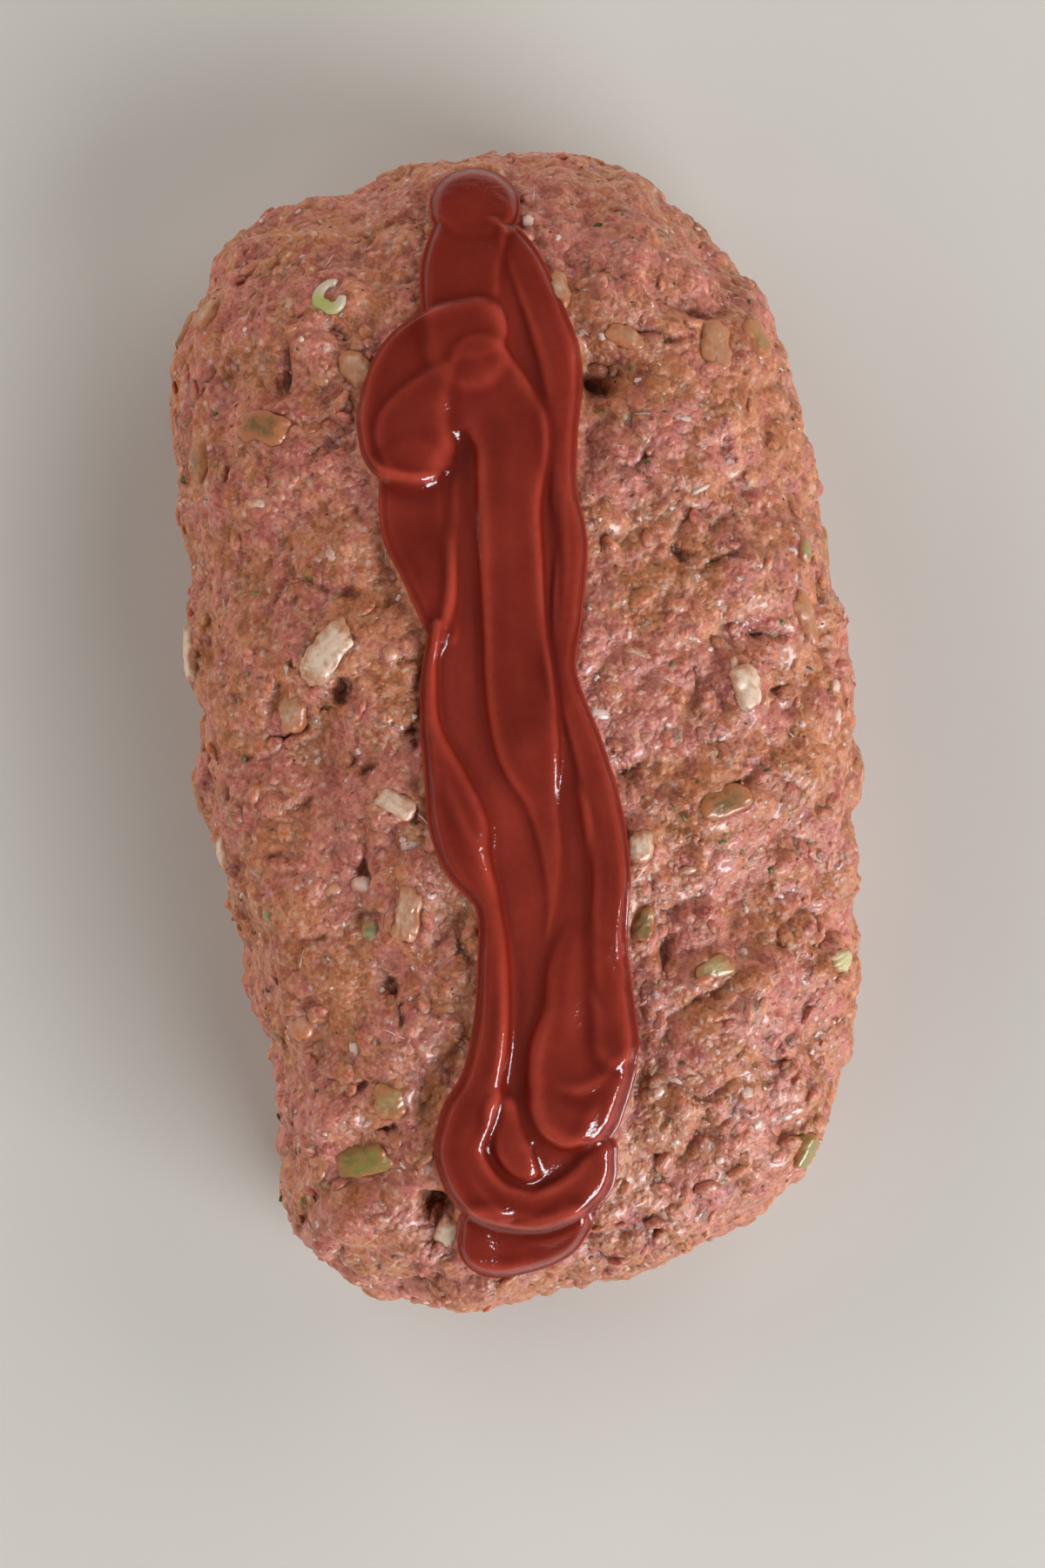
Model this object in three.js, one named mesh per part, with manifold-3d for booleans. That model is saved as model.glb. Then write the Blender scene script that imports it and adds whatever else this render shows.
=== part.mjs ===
// Raw meatloaf: a hand-shaped loaf of mince mixed with diced onion, celery and green pepper,
// with thick tomato sauce squeezed along its top. Millimetres, +Z up, the origin under the
// middle of the base, +Y along the loaf towards its far end, +X to the right.
import * as THREE from 'three';
import { mergeVertices } from 'three/addons/utils/BufferGeometryUtils.js';
import Module from 'manifold-3d';

const wasm = await Module();
wasm.setup();

// ---- the loaf's driving dimensions ----
const SPINE_HALF = 48; // half length of the straight spine that the loaf is shaped round
const CROWN = 54.5; // height of the crown over the middle of the spine
const CROWN_DROP = 2; // how much lower the crown is over the ends of the spine
const WIDEST = 13; // height of the widest line above the base
const TUCK = 0.95; // reach of the foot as a share of the widest reach
const SIDE_POWER = 2.7; // squareness of the section across the sides; 2 is an ellipse
const FAR_POWER = 2.35; // the far end slopes more gently
const NEAR_POWER = 2.75;

// Reach of the widest line from the spine, anticlockwise seen from above. A side has four
// steps along the spine, an end has eight steps of 22.5 degrees about the spine's end.
const STEPS_SIDE = 4;
const STEPS_END = 8;
const REACH = [
  61, 63, 64, 62, // right side, from near to far
  60, 61, 62, 65, 64, 63, 70, 65, // round the far end, with a fuller left corner
  62, 61, 63, 61, // left side, from far to near
  57, 58, 71, 69, 63, 62, 65, 61, // round the near end
];

// Hand-pressed lumps (+) and dents (-) as x, y, radius and height over the smooth form.
const LUMPS = [
  [-33, 75, 9, 2.6], [-37, 66, 6, -2.8], [-55, 74, 12, 2.2], [-20, 88, 12, 1.2],
  [-48, 12, 11, 3.0], [-40, 1, 7, -2.4], [-52, 40, 14, 1.6], [-30, 44, 12, 1.2],
  [-52, -12, 12, 1.6], [-34, -22, 7, -1.4], [-46, -42, 13, 2.0], [-33, -52, 8, 1.4],
  [-42, -69, 10, 3.6], [-36, -79, 6, -4.2], [-47, -90, 10, 1.6], [-24, -92, 4.5, -5.5],
  [24, 76, 11, 2.4], [18, 61, 4.5, -4.0], [44, 68, 12, 1.4], [33, 50, 12, 1.6],
  [44, 24, 11, 2.8], [37, 13, 7, -1.8], [54, -12, 14, 1.8], [30, -10, 10, 1.2],
  [42, -36, 8, -1.8], [50, -52, 12, 2.2], [24, -42, 6, -1.6], [30, -70, 13, 1.8],
  [46, -78, 10, 1.4], [12, -98, 12, 1.2],
];
const LUMP_FADE = 10; // lumps and ripple fade out over this height above the base

// The gentle unevenness of a hand-shaped surface: amplitude, direction and phase of each wave.
const RIPPLES = [
  [0.55, 0.16, 0.05, 0.10, 0.4], [0.5, -0.09, 0.17, 0.13, 1.9], [0.4, 0.21, -0.14, 0.19, 3.3],
  [0.35, 0.28, 0.22, -0.17, 5.1], [0.3, -0.31, 0.26, 0.24, 2.6],
];

// ---- the sauce's driving dimensions ----
// Each squeezed strand, lowest first, as points of x, y, half width and height of its top
// over what it lies on. Later strands lie on the earlier ones.
const STRANDS = {
  rightRibbon: [
    [5.5, 88, 2.5, 2], [7.5, 81, 4, 2.4], [10.5, 70, 4.5, 2.8], [12, 62, 4.5, 2.8],
    [11, 50, 3.5, 2.8], [10.5, 40, 3, 2.8], [11, 30, 3.5, 2.6], [9, 18, 3.5, 2.6],
    [7.5, 7, 3, 2.4], [10.5, -6, 3.5, 2.6], [12.5, -18, 4, 2.8], [13, -29, 4, 3],
    [11.5, -42, 4, 3.2], [11.5, -60, 4.5, 3],
  ],
  farLobe: [[-0.5, 94.5, 8.5, 3], [-0.5, 95.5, 8.5, 3]],
  neck: [[-1, 90, 7.5, 2.6], [-3.5, 82, 8, 2.6], [-4, 74, 8, 2.4], [-4, 66, 8, 2.2]],
  upperFold: [
    [-2, 70, 6.5, 2.4], [-8.5, 69, 6.5, 2.6], [-14, 63.5, 8, 2.8], [-16.5, 56, 8.5, 3],
    [-16.5, 51.5, 8.5, 3],
  ],
  leftPool: [[-15.5, 45, 6.5, 2], [-16, 36, 6.5, 2], [-14.5, 29, 5.5, 2], [-12, 16, 3.5, 2]],
  foldStrand: [[-8, 46, 1.5, 1.6], [-9, 35, 2, 1.8], [-10.5, 24, 2, 1.8], [-14, 13, 1.5, 1.6]],
  lowerFold: [[-5, 58.5, 7.5, 2.8], [-10, 57, 7, 2.8], [-14.5, 53, 8, 2.8], [-14.5, 50.5, 8, 2.8]],
  centreRibbon: [
    [-2, 63.5, 6.5, 2.8], [1, 55, 8, 3], [2.5, 49, 7.5, 3.2], [1, 38, 6.5, 3.4],
    [0.5, 28, 6.5, 3.4], [0, 15, 6.5, 3.4], [0, 5, 7, 3.2], [0.5, -6, 6.5, 2.8],
    [2, -15, 4, 2.4], [3, -24, 3, 2.2], [2.5, -33, 2, 1.8], [0.5, -41, 1, 1],
  ],
  leftStrand: [
    [-13.5, 18, 1.5, 2.4], [-15.5, 9, 2, 2.6], [-16, 0, 2.5, 2.8], [-14, -10, 4.5, 3],
    [-12.5, -18, 6, 3], [-11.5, -25, 5, 3], [-8.5, -33, 3, 3], [-8.5, -44, 3.5, 3.4],
    [-10, -56, 4, 3.6], [-12.5, -65, 4.5, 3.8], [-15.5, -71, 5.5, 3.8],
  ],
  innerStrand: [[-5, -12, 1, 0.6], [-4, -18, 2, 1], [-2.5, -27, 2.5, 1.2], [-1.5, -44, 1, 0.6]],
  middleStrand: [[7, -10, 1.5, 0.8], [8.5, -18, 2.5, 1.2], [8.5, -26, 2, 1.2], [7.5, -34, 1.5, 1]],
  nearPool: [
    [-14.5, -92, 5.5, 2.6], [-14, -96.5, 6, 2.8], [-8, -96.5, 6, 2.8], [-3, -95, 5.5, 2.8],
    [0.5, -92, 4.5, 2.6],
  ],
  nearSheet: [[-9.5, -70, 4, 3], [-8.5, -77, 4.5, 3], [-6.5, -82, 3.5, 2.8]],
  nearRing: [
    [-16, -72, 5.5, 3.8], [-17.5, -78, 5.5, 3.8], [-14, -85.5, 6, 3.8], [-7, -89, 5.5, 3.8],
    [-1, -88, 5.5, 3.8], [4.5, -84.5, 5, 3.6], [7, -79, 3.5, 3.4],
  ],
  nearTongue: [
    [9, -33, 3, 0.4], [8, -39, 6, 1.6], [7, -46, 8, 2.8], [6.5, -54, 9, 3.8],
    [5, -62, 10.5, 4.4], [3, -70, 9.5, 4.6],
  ],
};
const STRAND_STEP = 1.5; // distance between the round spots that a strand is laid in
const SINK = 0.35; // share of what lies beneath that still shows through an upper strand
const SAUCE_CELLS = [12, 52]; // cells across and along the sauce's top
const FILM = 1.2; // least depth of sauce between its strands
const SAUCE_ROOT = 25; // height of the sauce's flat underside before the loaf is cut away

const GAP = 0.3; // clearance between touching pieces
const WELD = 1e-4; // corners closer than this are one corner
const TINY = 1e-9; // keeps a station below the end of the outline's list
const RIM_SHARE = 0.999; // places past the widest line count as just inside it
const LOAF_CELLS = [28, 48]; // cells across and along the loaf's surface

// ---- vegetable pieces: position, size, turn about the surface's normal, and how proud ----
// On the top: name, x, y, [length, width, thickness], turn in degrees, proud, bend.
const TOP_PIECES = {
  onion: [
    ['far_left', -51, 80, [8, 5.5, 3], 10, 1.0, 0.6],
    ['fold', -24.5, 65.5, [8.5, 6, 3], 120, 0.8, 0.5],
    ['wedge', -33.5, 14.5, [14, 7, 4], 44, 1.6, 1.0],
    ['beside_wedge', -42, 5, [8, 5.5, 3.5], 65, 0.8, 0.6],
    ['left_edge', -59, 18, [11, 7, 3], 85, 1.4, 0.8],
    ['mid_left', -24, -13.5, [8.5, 4.5, 3], -34, 1.2, 0.6],
    ['left_sliver', -57, -20, [7, 3.5, 2.5], 104, 1.0, 0.4],
    ['striped', -23.5, -33.5, [10.5, 5, 3], 76, 1.0, 0.6],
    ['near_hollow', -22.5, -94.5, [6.5, 4.5, 3], 62, 0.4, 0.4],
    ['right_dice', 41, 2, [8.5, 5.5, 3.5], 100, 1.2, 0.6],
    ['right_sliver', 52.5, 14, [11, 4.5, 3], 112, 1.2, 0.8],
    ['far_translucent', 40.5, 64.5, [10.5, 6.5, 3], 88, 1.0, 0.8],
    ['far_chip', 24.5, 67, [7.5, 4, 2.5], -26, 1.2, 0.4],
    ['beside_sauce', 13.5, 77, [8, 4, 3], 110, 1.0, 0.4],
    ['mid_right', 19, -25, [6.5, 5, 3], 86, 0.8, 0.4],
  ],
  celery: [
    ['far_right', 48, 65.5, [8.5, 5.5, 3], 115, 0.8, 1.0],
    ['near_left', -30, -67.5, [7, 6.5, 3.5], 84, 0.6, 1.0],
    ['right_diagonal', 30, -48.5, [8, 4, 3], 20, 1.0, 0.8],
    ['right_edge', 53, -50, [5.5, 4.5, 3], 4, 1.4, 0.6],
  ],
  pepper: [
    ['far_left', -42, 57, [11, 6.5, 3], -20, 1.0, 0.9],
    ['left_flank', -55.5, 53, [8.5, 5.5, 3], 84, 0.8, 0.9],
    ['near_left', -37, -79, [12, 7, 4], 10, 1.0, 1.0],
    ['mid_right', 35, -18.5, [10, 5.5, 3], 16, 0.8, 0.9],
    ['right_chip', 18.5, -39, [6.5, 4.5, 2.5], 84, 0.8, 0.6],
    ['near_right', 44.5, -83.5, [7.5, 5, 3], 60, 1.0, 0.9],
  ],
};
// On the flanks: name, station round the outline, height, then the same sizes.
const FLANK_PIECES = {
  onion: [
    ['right_low', 1.4, 20, [10, 7, 3], 20, 1.2, 0.6],
    ['left_low', 14.3, 22, [11, 7, 3], 35, 1.2, 0.8],
    ['near_low', 20.4, 21, [9.5, 7, 3], 15, 1.2, 0.6],
    ['far_low', 8.6, 20, [10, 6, 3], 160, 1.2, 0.6],
  ],
  celery: [
    ['near_low', 18.6, 17, [9, 6, 3], 120, 1.0, 1.2],
    ['right_low', 3.2, 24, [9, 6, 3], 70, 1.0, 1.2],
  ],
  pepper: [
    ['far_low', 10.7, 24, [9.5, 7, 3], 30, 1.0, 0.9],
    ['left_low', 12.9, 18, [8, 6, 3], 60, 1.0, 0.9],
  ],
};
const PIECE_POWER = 5; // squareness of a diced piece
const PIECE_TAPER = 0.12; // how much narrower a piece is at one end
const PIECE_FULLNESS = 1.08; // how far its rounded block is swelled back towards the full size
const BEND_LEVEL = 0.4; // where, in squared half lengths, a bent piece keeps its height

// The slice of spring onion: outer and inner radius, length, how much of the ring is left.
const RING = { x: -27.5, y: 79, outer: 4, inner: 1.6, length: 3.2, sweep: 285, turn: -130, proud: 1.4 };

// ---- materials ----
function finish(color, roughness) {
  return new THREE.MeshStandardMaterial({ color, roughness, metalness: 0 });
}
const MINCE = finish(0xb0665a, 0.45);
const SAUCE = finish(0x8e1d12, 0.15);
const VEGETABLE = {
  onion: finish(0xd6c29c, 0.3),
  celery: finish(0xb5b673, 0.35),
  pepper: finish(0x7f8236, 0.35),
};
const SPRING_ONION = finish(0xc9d08c, 0.35);

// ---- helpers ----
const lerp = THREE.MathUtils.lerp;
const clamp = THREE.MathUtils.clamp;

// Closed Catmull-Rom curve through the reach values, at station w.
function reachAt(w) {
  const count = REACH.length;
  const k = Math.floor(w);
  const f = w - k;
  const [a, b, c, d] = [-1, 0, 1, 2].map((step) => REACH[(k + step + count) % count]);
  return b + 0.5 * f * (c - a + f * (2 * a - 5 * b + 4 * c - d + f * (3 * (b - c) + d - a)));
}

// The section's squareness at station w: the sides' value, blended to each end's own.
function powerAt(w) {
  const far = Math.sin(Math.PI * clamp((w - STEPS_SIDE) / STEPS_END, 0, 1));
  const near = Math.sin(Math.PI * clamp((w - 2 * STEPS_SIDE - STEPS_END) / STEPS_END, 0, 1));
  return SIDE_POWER + (FAR_POWER - SIDE_POWER) * far + (NEAR_POWER - SIDE_POWER) * near;
}

function crownAt(y) {
  return CROWN - CROWN_DROP * (y / SPINE_HALF) ** 2;
}

// The spine point and outward direction that belong to station w.
function stationAt(w) {
  if (w < STEPS_SIDE) return { y: SPINE_HALF * ((2 * w) / STEPS_SIDE - 1), angle: 0 };
  w -= STEPS_SIDE;
  if (w < STEPS_END) return { y: SPINE_HALF, angle: (Math.PI * w) / STEPS_END };
  w -= STEPS_END;
  if (w < STEPS_SIDE) return { y: SPINE_HALF * (1 - (2 * w) / STEPS_SIDE), angle: Math.PI };
  w -= STEPS_SIDE;
  return { y: -SPINE_HALF, angle: Math.PI * (1 + w / STEPS_END) };
}

// The station of a plan point, and its distance from the spine.
function stationOf(x, y) {
  const along = clamp(y, -SPINE_HALF, SPINE_HALF);
  const share = (along / SPINE_HALF + 1) / 2;
  const turn = Math.atan2(y - along, x);
  let w;
  if (y > SPINE_HALF) w = STEPS_SIDE + (turn / Math.PI) * STEPS_END;
  else if (y < -SPINE_HALF) w = 2 * STEPS_SIDE + STEPS_END + (turn / Math.PI + 1) * STEPS_END;
  else w = x >= 0 ? STEPS_SIDE * share : STEPS_SIDE + STEPS_END + STEPS_SIDE * (1 - share);
  return { w, distance: Math.hypot(x, y - along) };
}

// How far the uneven surface stands outside the smooth form at a point of it.
function unevenness(x, y, z) {
  let rise = 0;
  for (const [amplitude, a, b, c, phase] of RIPPLES) {
    rise += amplitude * Math.sin(a * x + b * y + c * z + phase);
  }
  for (const [cx, cy, radius, height] of LUMPS) {
    rise += height * Math.exp(-((x - cx) ** 2 + (y - cy) ** 2) / radius ** 2);
  }
  return rise * THREE.MathUtils.smoothstep(z, 0, LUMP_FADE);
}

// A point of the loaf's surface at station w. The section is a quarter superellipse from the
// crown down to the widest line (swing 0 to a right angle), and a gentle tuck to the base
// below it (swing up to FULL_SWING). The unevenness is added along the outward normal.
const FULL_SWING = Math.PI / 2 + 1;
function loafPoint(w, swing) {
  const { y: along, angle } = stationAt(w);
  const reach = reachAt(w);
  const rise = crownAt(along) - WIDEST;
  const power = powerAt(w);
  let out = 1;
  let up = 0;
  let z = WIDEST;
  if (swing < Math.PI / 2) {
    out = Math.sin(swing) ** (2 / power);
    up = Math.cos(swing) ** (2 / power);
    z += rise * up;
  } else {
    const down = swing - Math.PI / 2;
    out = 1 - (1 - TUCK) * down ** 2;
    z -= WIDEST * down;
  }
  const normal = new THREE.Vector3(
    (Math.cos(angle) * out ** (power - 1)) / reach,
    (Math.sin(angle) * out ** (power - 1)) / reach,
    up ** (power - 1) / rise,
  ).normalize();
  const point = new THREE.Vector3(
    Math.cos(angle) * reach * out, along + Math.sin(angle) * reach * out, z,
  );
  point.addScaledVector(normal, unevenness(point.x, point.y, point.z));
  return { point, normal };
}

// The surface above a plan point.
function loafTop(x, y) {
  const { w, distance } = stationOf(x, y);
  const out = Math.min(distance / reachAt(w), RIM_SHARE);
  return loafPoint(w, Math.asin(out ** (powerAt(w) / 2)));
}

// The surface at station w on the flank, at height z.
function loafFlank(w, z) {
  const up = (z - WIDEST) / (crownAt(stationAt(w).y) - WIDEST);
  return loafPoint(w, Math.acos(up ** (powerAt(w) / 2)));
}

// Swing for a share of the section's length, so that rings are evenly spaced down the side.
const SWINGS = (() => {
  const steps = 400;
  const meanReach = REACH.reduce((sum, reach) => sum + reach) / REACH.length;
  const lengths = [0];
  let last = [0, CROWN - WIDEST];
  for (let k = 1; k <= steps; k += 1) {
    const swing = (FULL_SWING * k) / steps;
    const upper = swing < Math.PI / 2;
    const down = swing - Math.PI / 2;
    const here = upper
      ? [meanReach * Math.sin(swing) ** (2 / SIDE_POWER),
        (CROWN - WIDEST) * Math.cos(swing) ** (2 / SIDE_POWER)]
      : [meanReach * (1 - (1 - TUCK) * down ** 2), -WIDEST * down];
    lengths.push(lengths[k - 1] + Math.hypot(here[0] - last[0], here[1] - last[1]));
    last = here;
  }
  return (share) => {
    const target = share * lengths[steps];
    const k = clamp(lengths.findIndex((length) => length >= target), 1, steps);
    const part = (target - lengths[k - 1]) / (lengths[k] - lengths[k - 1]);
    return (FULL_SWING * (k - 1 + part)) / steps;
  };
})();

// ---- closed meshes and solids ----
function closedGeometry(points, triangles) {
  const geometry = new THREE.BufferGeometry();
  geometry.setAttribute('position', new THREE.Float32BufferAttribute(points.flat(), 3));
  geometry.setIndex(triangles.flat());
  return geometry;
}

function welded(geometry) {
  geometry.deleteAttribute('normal');
  geometry.deleteAttribute('uv');
  return mergeVertices(geometry, WELD);
}

function solid(geometry) {
  return new wasm.Manifold(new wasm.Mesh({
    numProp: 3,
    vertProperties: new Float32Array(geometry.attributes.position.array),
    triVerts: new Uint32Array(geometry.index.array),
  }));
}

function namedMesh(name, shape, material) {
  const { vertProperties, triVerts } = shape.getMesh();
  const geometry = new THREE.BufferGeometry();
  geometry.setAttribute('position', new THREE.BufferAttribute(vertProperties, 3));
  geometry.setIndex(new THREE.BufferAttribute(triVerts, 1));
  const mesh = new THREE.Mesh(geometry, material);
  mesh.name = name;
  return mesh;
}

// ---- the loaf ----
// A rectangular net is wrapped over the loaf: its middle line lies on the crown over the
// spine, its rings run round the sides and ends, and its rim is the foot on the base plane.
function loafGeometry() {
  const [across, along] = LOAF_CELLS;
  const straight = along / across - 1;
  const points = [];
  const triangles = [];
  const at = (i, j) => i * (along + 1) + j;
  for (let i = 0; i <= across; i += 1) {
    for (let j = 0; j <= along; j += 1) {
      const p = (2 * i) / across - 1;
      const q = (2 * j - along) / across;
      const e = q - clamp(q, -straight, straight);
      const ring = Math.max(Math.abs(p), Math.abs(e));
      let w;
      if (e === 0) {
        const share = (q / straight + 1) / 2;
        w = p >= 0 ? STEPS_SIDE * share : STEPS_SIDE + STEPS_END + STEPS_SIDE * (1 - share);
      } else {
        const lean = Math.abs(p) >= Math.abs(e)
          ? (Math.PI / 4) * Math.abs(e / p)
          : Math.PI / 2 - (Math.PI / 4) * Math.abs(p / e);
        const turn = (p >= 0 ? lean : Math.PI - lean) / Math.PI;
        w = e > 0
          ? STEPS_SIDE + STEPS_END * turn
          : 2 * STEPS_SIDE + STEPS_END + STEPS_END * (1 - turn);
      }
      w = clamp(w, 0, REACH.length - TINY);
      points.push(loafPoint(w, SWINGS(ring)).point.toArray());
      if (i < across && j < along) {
        triangles.push([at(i, j), at(i + 1, j), at(i + 1, j + 1)]);
        triangles.push([at(i, j), at(i + 1, j + 1), at(i, j + 1)]);
      }
    }
  }
  const rim = [];
  for (let i = 0; i < across; i += 1) rim.push(at(i, 0));
  for (let j = 0; j < along; j += 1) rim.push(at(across, j));
  for (let i = across; i > 0; i -= 1) rim.push(at(i, along));
  for (let j = along; j > 0; j -= 1) rim.push(at(0, j));
  for (const k of rim) points[k][2] = 0;
  const middle = points.push([0, 0, 0]) - 1;
  rim.forEach((k, n) => triangles.push([middle, rim[(n + 1) % rim.length], k]));
  return closedGeometry(points, triangles);
}

// ---- the sauce ----
// A strand is a smooth curve through its points, walked in small steps; at each step it is a
// round spot with a domed top. Its height over the loaf is the highest of its spots.
function strandSpots(strand) {
  const curve = new THREE.CatmullRomCurve3(
    strand.map(([x, y]) => new THREE.Vector3(x, y, 0)), false, 'centripetal',
  );
  const count = Math.ceil(curve.getLength() / STRAND_STEP);
  const spots = [];
  for (let k = 0; k <= count; k += 1) {
    const place = (k / count) * (strand.length - 1);
    const from = strand[Math.floor(place)];
    const to = strand[Math.min(Math.floor(place) + 1, strand.length - 1)];
    const { x, y } = curve.getPoint(k / count);
    spots.push({
      x, y, half: lerp(from[2], to[2], place % 1), height: lerp(from[3], to[3], place % 1),
    });
  }
  return spots;
}
const SPOTS = Object.values(STRANDS).map(strandSpots);

function sauceHeight(x, y) {
  let height = 0;
  for (const spots of SPOTS) {
    let dome = 0;
    for (const spot of spots) {
      const off = Math.hypot(x - spot.x, y - spot.y) / spot.half;
      if (off < 1) dome = Math.max(dome, spot.height * Math.sqrt(1 - off ** 3));
    }
    if (dome > 0) height = Math.max(height, SINK * height + dome);
  }
  return height;
}

// The sauce's leftmost and rightmost x in the row at y.
function sauceRow(y) {
  let left = Infinity;
  let right = -Infinity;
  for (const { x, y: spotY, half } of SPOTS.flat()) {
    const reach = Math.sqrt(Math.max(half ** 2 - (y - spotY) ** 2, 0));
    if (reach > 0) {
      left = Math.min(left, x - reach);
      right = Math.max(right, x + reach);
    }
  }
  return [left, right];
}

// A column up to the sauce's domed top; the loaf, raised by the gap, is cut out of it.
function sauceColumn() {
  const [across, along] = SAUCE_CELLS;
  const ends = SPOTS.flat().map(({ y, half }) => [y - half, y + half]);
  const near = Math.min(...ends.map((end) => end[0])) + GAP;
  const far = Math.max(...ends.map((end) => end[1])) - GAP;
  const points = [];
  const triangles = [];
  const at = (i, j, layer) => 2 * (i * (along + 1) + j) + layer;
  for (let i = 0; i <= across; i += 1) {
    for (let j = 0; j <= along; j += 1) {
      const y = lerp(near, far, (1 - Math.cos((Math.PI * j) / along)) / 4 + j / along / 2);
      const [left, right] = sauceRow(y);
      const x = lerp(left, right, (1 - Math.cos((Math.PI * i) / across)) / 4 + i / across / 2);
      const rim = i === 0 || i === across || j === 0 || j === along;
      const height = rim ? GAP : Math.max(sauceHeight(x, y), FILM);
      points.push([x, y, loafTop(x, y).point.z + height], [x, y, SAUCE_ROOT]);
      if (i < across && j < along) {
        for (const layer of [0, 1]) {
          const corners = [at(i, j, layer), at(i + 1, j, layer), at(i + 1, j + 1, layer),
            at(i, j + 1, layer)];
          if (layer) corners.reverse();
          triangles.push([corners[0], corners[1], corners[2]]);
          triangles.push([corners[0], corners[2], corners[3]]);
        }
      }
    }
  }
  const rim = [];
  for (let i = 0; i < across; i += 1) rim.push([i, 0]);
  for (let j = 0; j < along; j += 1) rim.push([across, j]);
  for (let i = across; i > 0; i -= 1) rim.push([i, along]);
  for (let j = along; j > 0; j -= 1) rim.push([0, j]);
  rim.forEach(([i, j], n) => {
    const [k, m] = rim[(n + 1) % rim.length];
    triangles.push([at(i, j, 0), at(i, j, 1), at(k, m, 1)]);
    triangles.push([at(i, j, 0), at(k, m, 1), at(k, m, 0)]);
  });
  return closedGeometry(points, triangles);
}

// ---- vegetable pieces ----
// A cut piece: a small rounded block, narrower at one end and bent along its length as a
// layer of onion or a rib of celery is. grow widens it on every side.
function pieceGeometry([length, width, thickness], bend, grow = 0) {
  const geometry = welded(new THREE.BoxGeometry(2, 2, 2, 3, 2, 1));
  const position = geometry.attributes.position;
  for (let k = 0; k < position.count; k += 1) {
    const corner = new THREE.Vector3().fromBufferAttribute(position, k);
    const size = corner.toArray().reduce((sum, v) => sum + Math.abs(v) ** PIECE_POWER, 0);
    corner.multiplyScalar(PIECE_FULLNESS / size ** (1 / PIECE_POWER));
    const x = corner.x * (length / 2 + grow);
    const y = corner.y * (width / 2 + grow) * (1 - PIECE_TAPER * corner.x);
    const z = corner.z * (thickness / 2 + grow) - bend * (corner.x ** 2 - BEND_LEVEL);
    position.setXYZ(k, x, y, z);
  }
  return geometry;
}

// The slice of spring onion: a split ring standing with its axis along the surface's normal.
function ringGeometry(grow = 0) {
  const half = THREE.MathUtils.degToRad(RING.sweep) / 2 + grow / RING.outer;
  const shape = new THREE.Shape();
  shape.absarc(0, 0, RING.outer + grow, -half, half, false);
  shape.absarc(0, 0, RING.inner - grow, half, -half, true);
  const geometry = new THREE.ExtrudeGeometry(shape, {
    depth: RING.length + 2 * grow, bevelEnabled: false, curveSegments: 10,
  });
  return welded(geometry.translate(0, 0, -RING.length / 2 - grow));
}

// Places a geometry on the surface: its own Z along the normal, turned about it, with its
// top standing proud of the meat.
function seat(geometry, { point, normal }, turn, proud, thickness) {
  const across = new THREE.Vector3(1, 0, 0).addScaledVector(normal, -normal.x).normalize();
  const matrix = new THREE.Matrix4().makeBasis(
    across, new THREE.Vector3().crossVectors(normal, across), normal,
  );
  matrix.multiply(new THREE.Matrix4().makeRotationZ(THREE.MathUtils.degToRad(turn)));
  matrix.setPosition(point.clone().addScaledVector(normal, proud - thickness / 2));
  return geometry.applyMatrix4(matrix);
}

function vegetablePieces() {
  const pieces = [];
  const add = (name, make, place, turn, proud, thickness, material) => {
    pieces.push({
      name,
      material,
      body: solid(seat(make(0), place, turn, proud, thickness)),
      pocket: solid(seat(make(GAP), place, turn, proud, thickness)),
    });
  };
  for (const [list, placeOf] of [[TOP_PIECES, loafTop], [FLANK_PIECES, loafFlank]]) {
    for (const [kind, specs] of Object.entries(list)) {
      for (const [name, a, b, size, turn, proud, bend] of specs) {
        const make = (grow) => pieceGeometry(size, bend, grow);
        const full = `${kind}_${name}`;
        add(full, make, placeOf(a, b), turn, proud, size[2], VEGETABLE[kind]);
      }
    }
  }
  const ringPlace = loafTop(RING.x, RING.y);
  add('spring_onion_ring', ringGeometry, ringPlace, RING.turn, RING.proud, RING.length, SPRING_ONION);
  return pieces;
}

// ---- assembly ----
const pieces = vegetablePieces();
const pockets = wasm.Manifold.union(pieces.map((piece) => piece.pocket));
const wholeLoaf = solid(loafGeometry());
const loaf = wholeLoaf.subtract(pockets);
const sauce = solid(sauceColumn()).subtract(wholeLoaf.translate([0, 0, GAP])).subtract(pockets);

const meatloaf = new THREE.Group();
meatloaf.add(namedMesh('loaf', loaf, MINCE));
meatloaf.add(namedMesh('sauce', sauce, SAUCE));
for (const { name, body, material } of pieces) meatloaf.add(namedMesh(name, body, material));

export default meatloaf;
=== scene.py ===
"""Raw meatloaf: the looks of a hand-shaped loaf of mince with diced vegetables in it and thick
tomato sauce squeezed along its top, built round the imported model, which is loaded first."""

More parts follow.
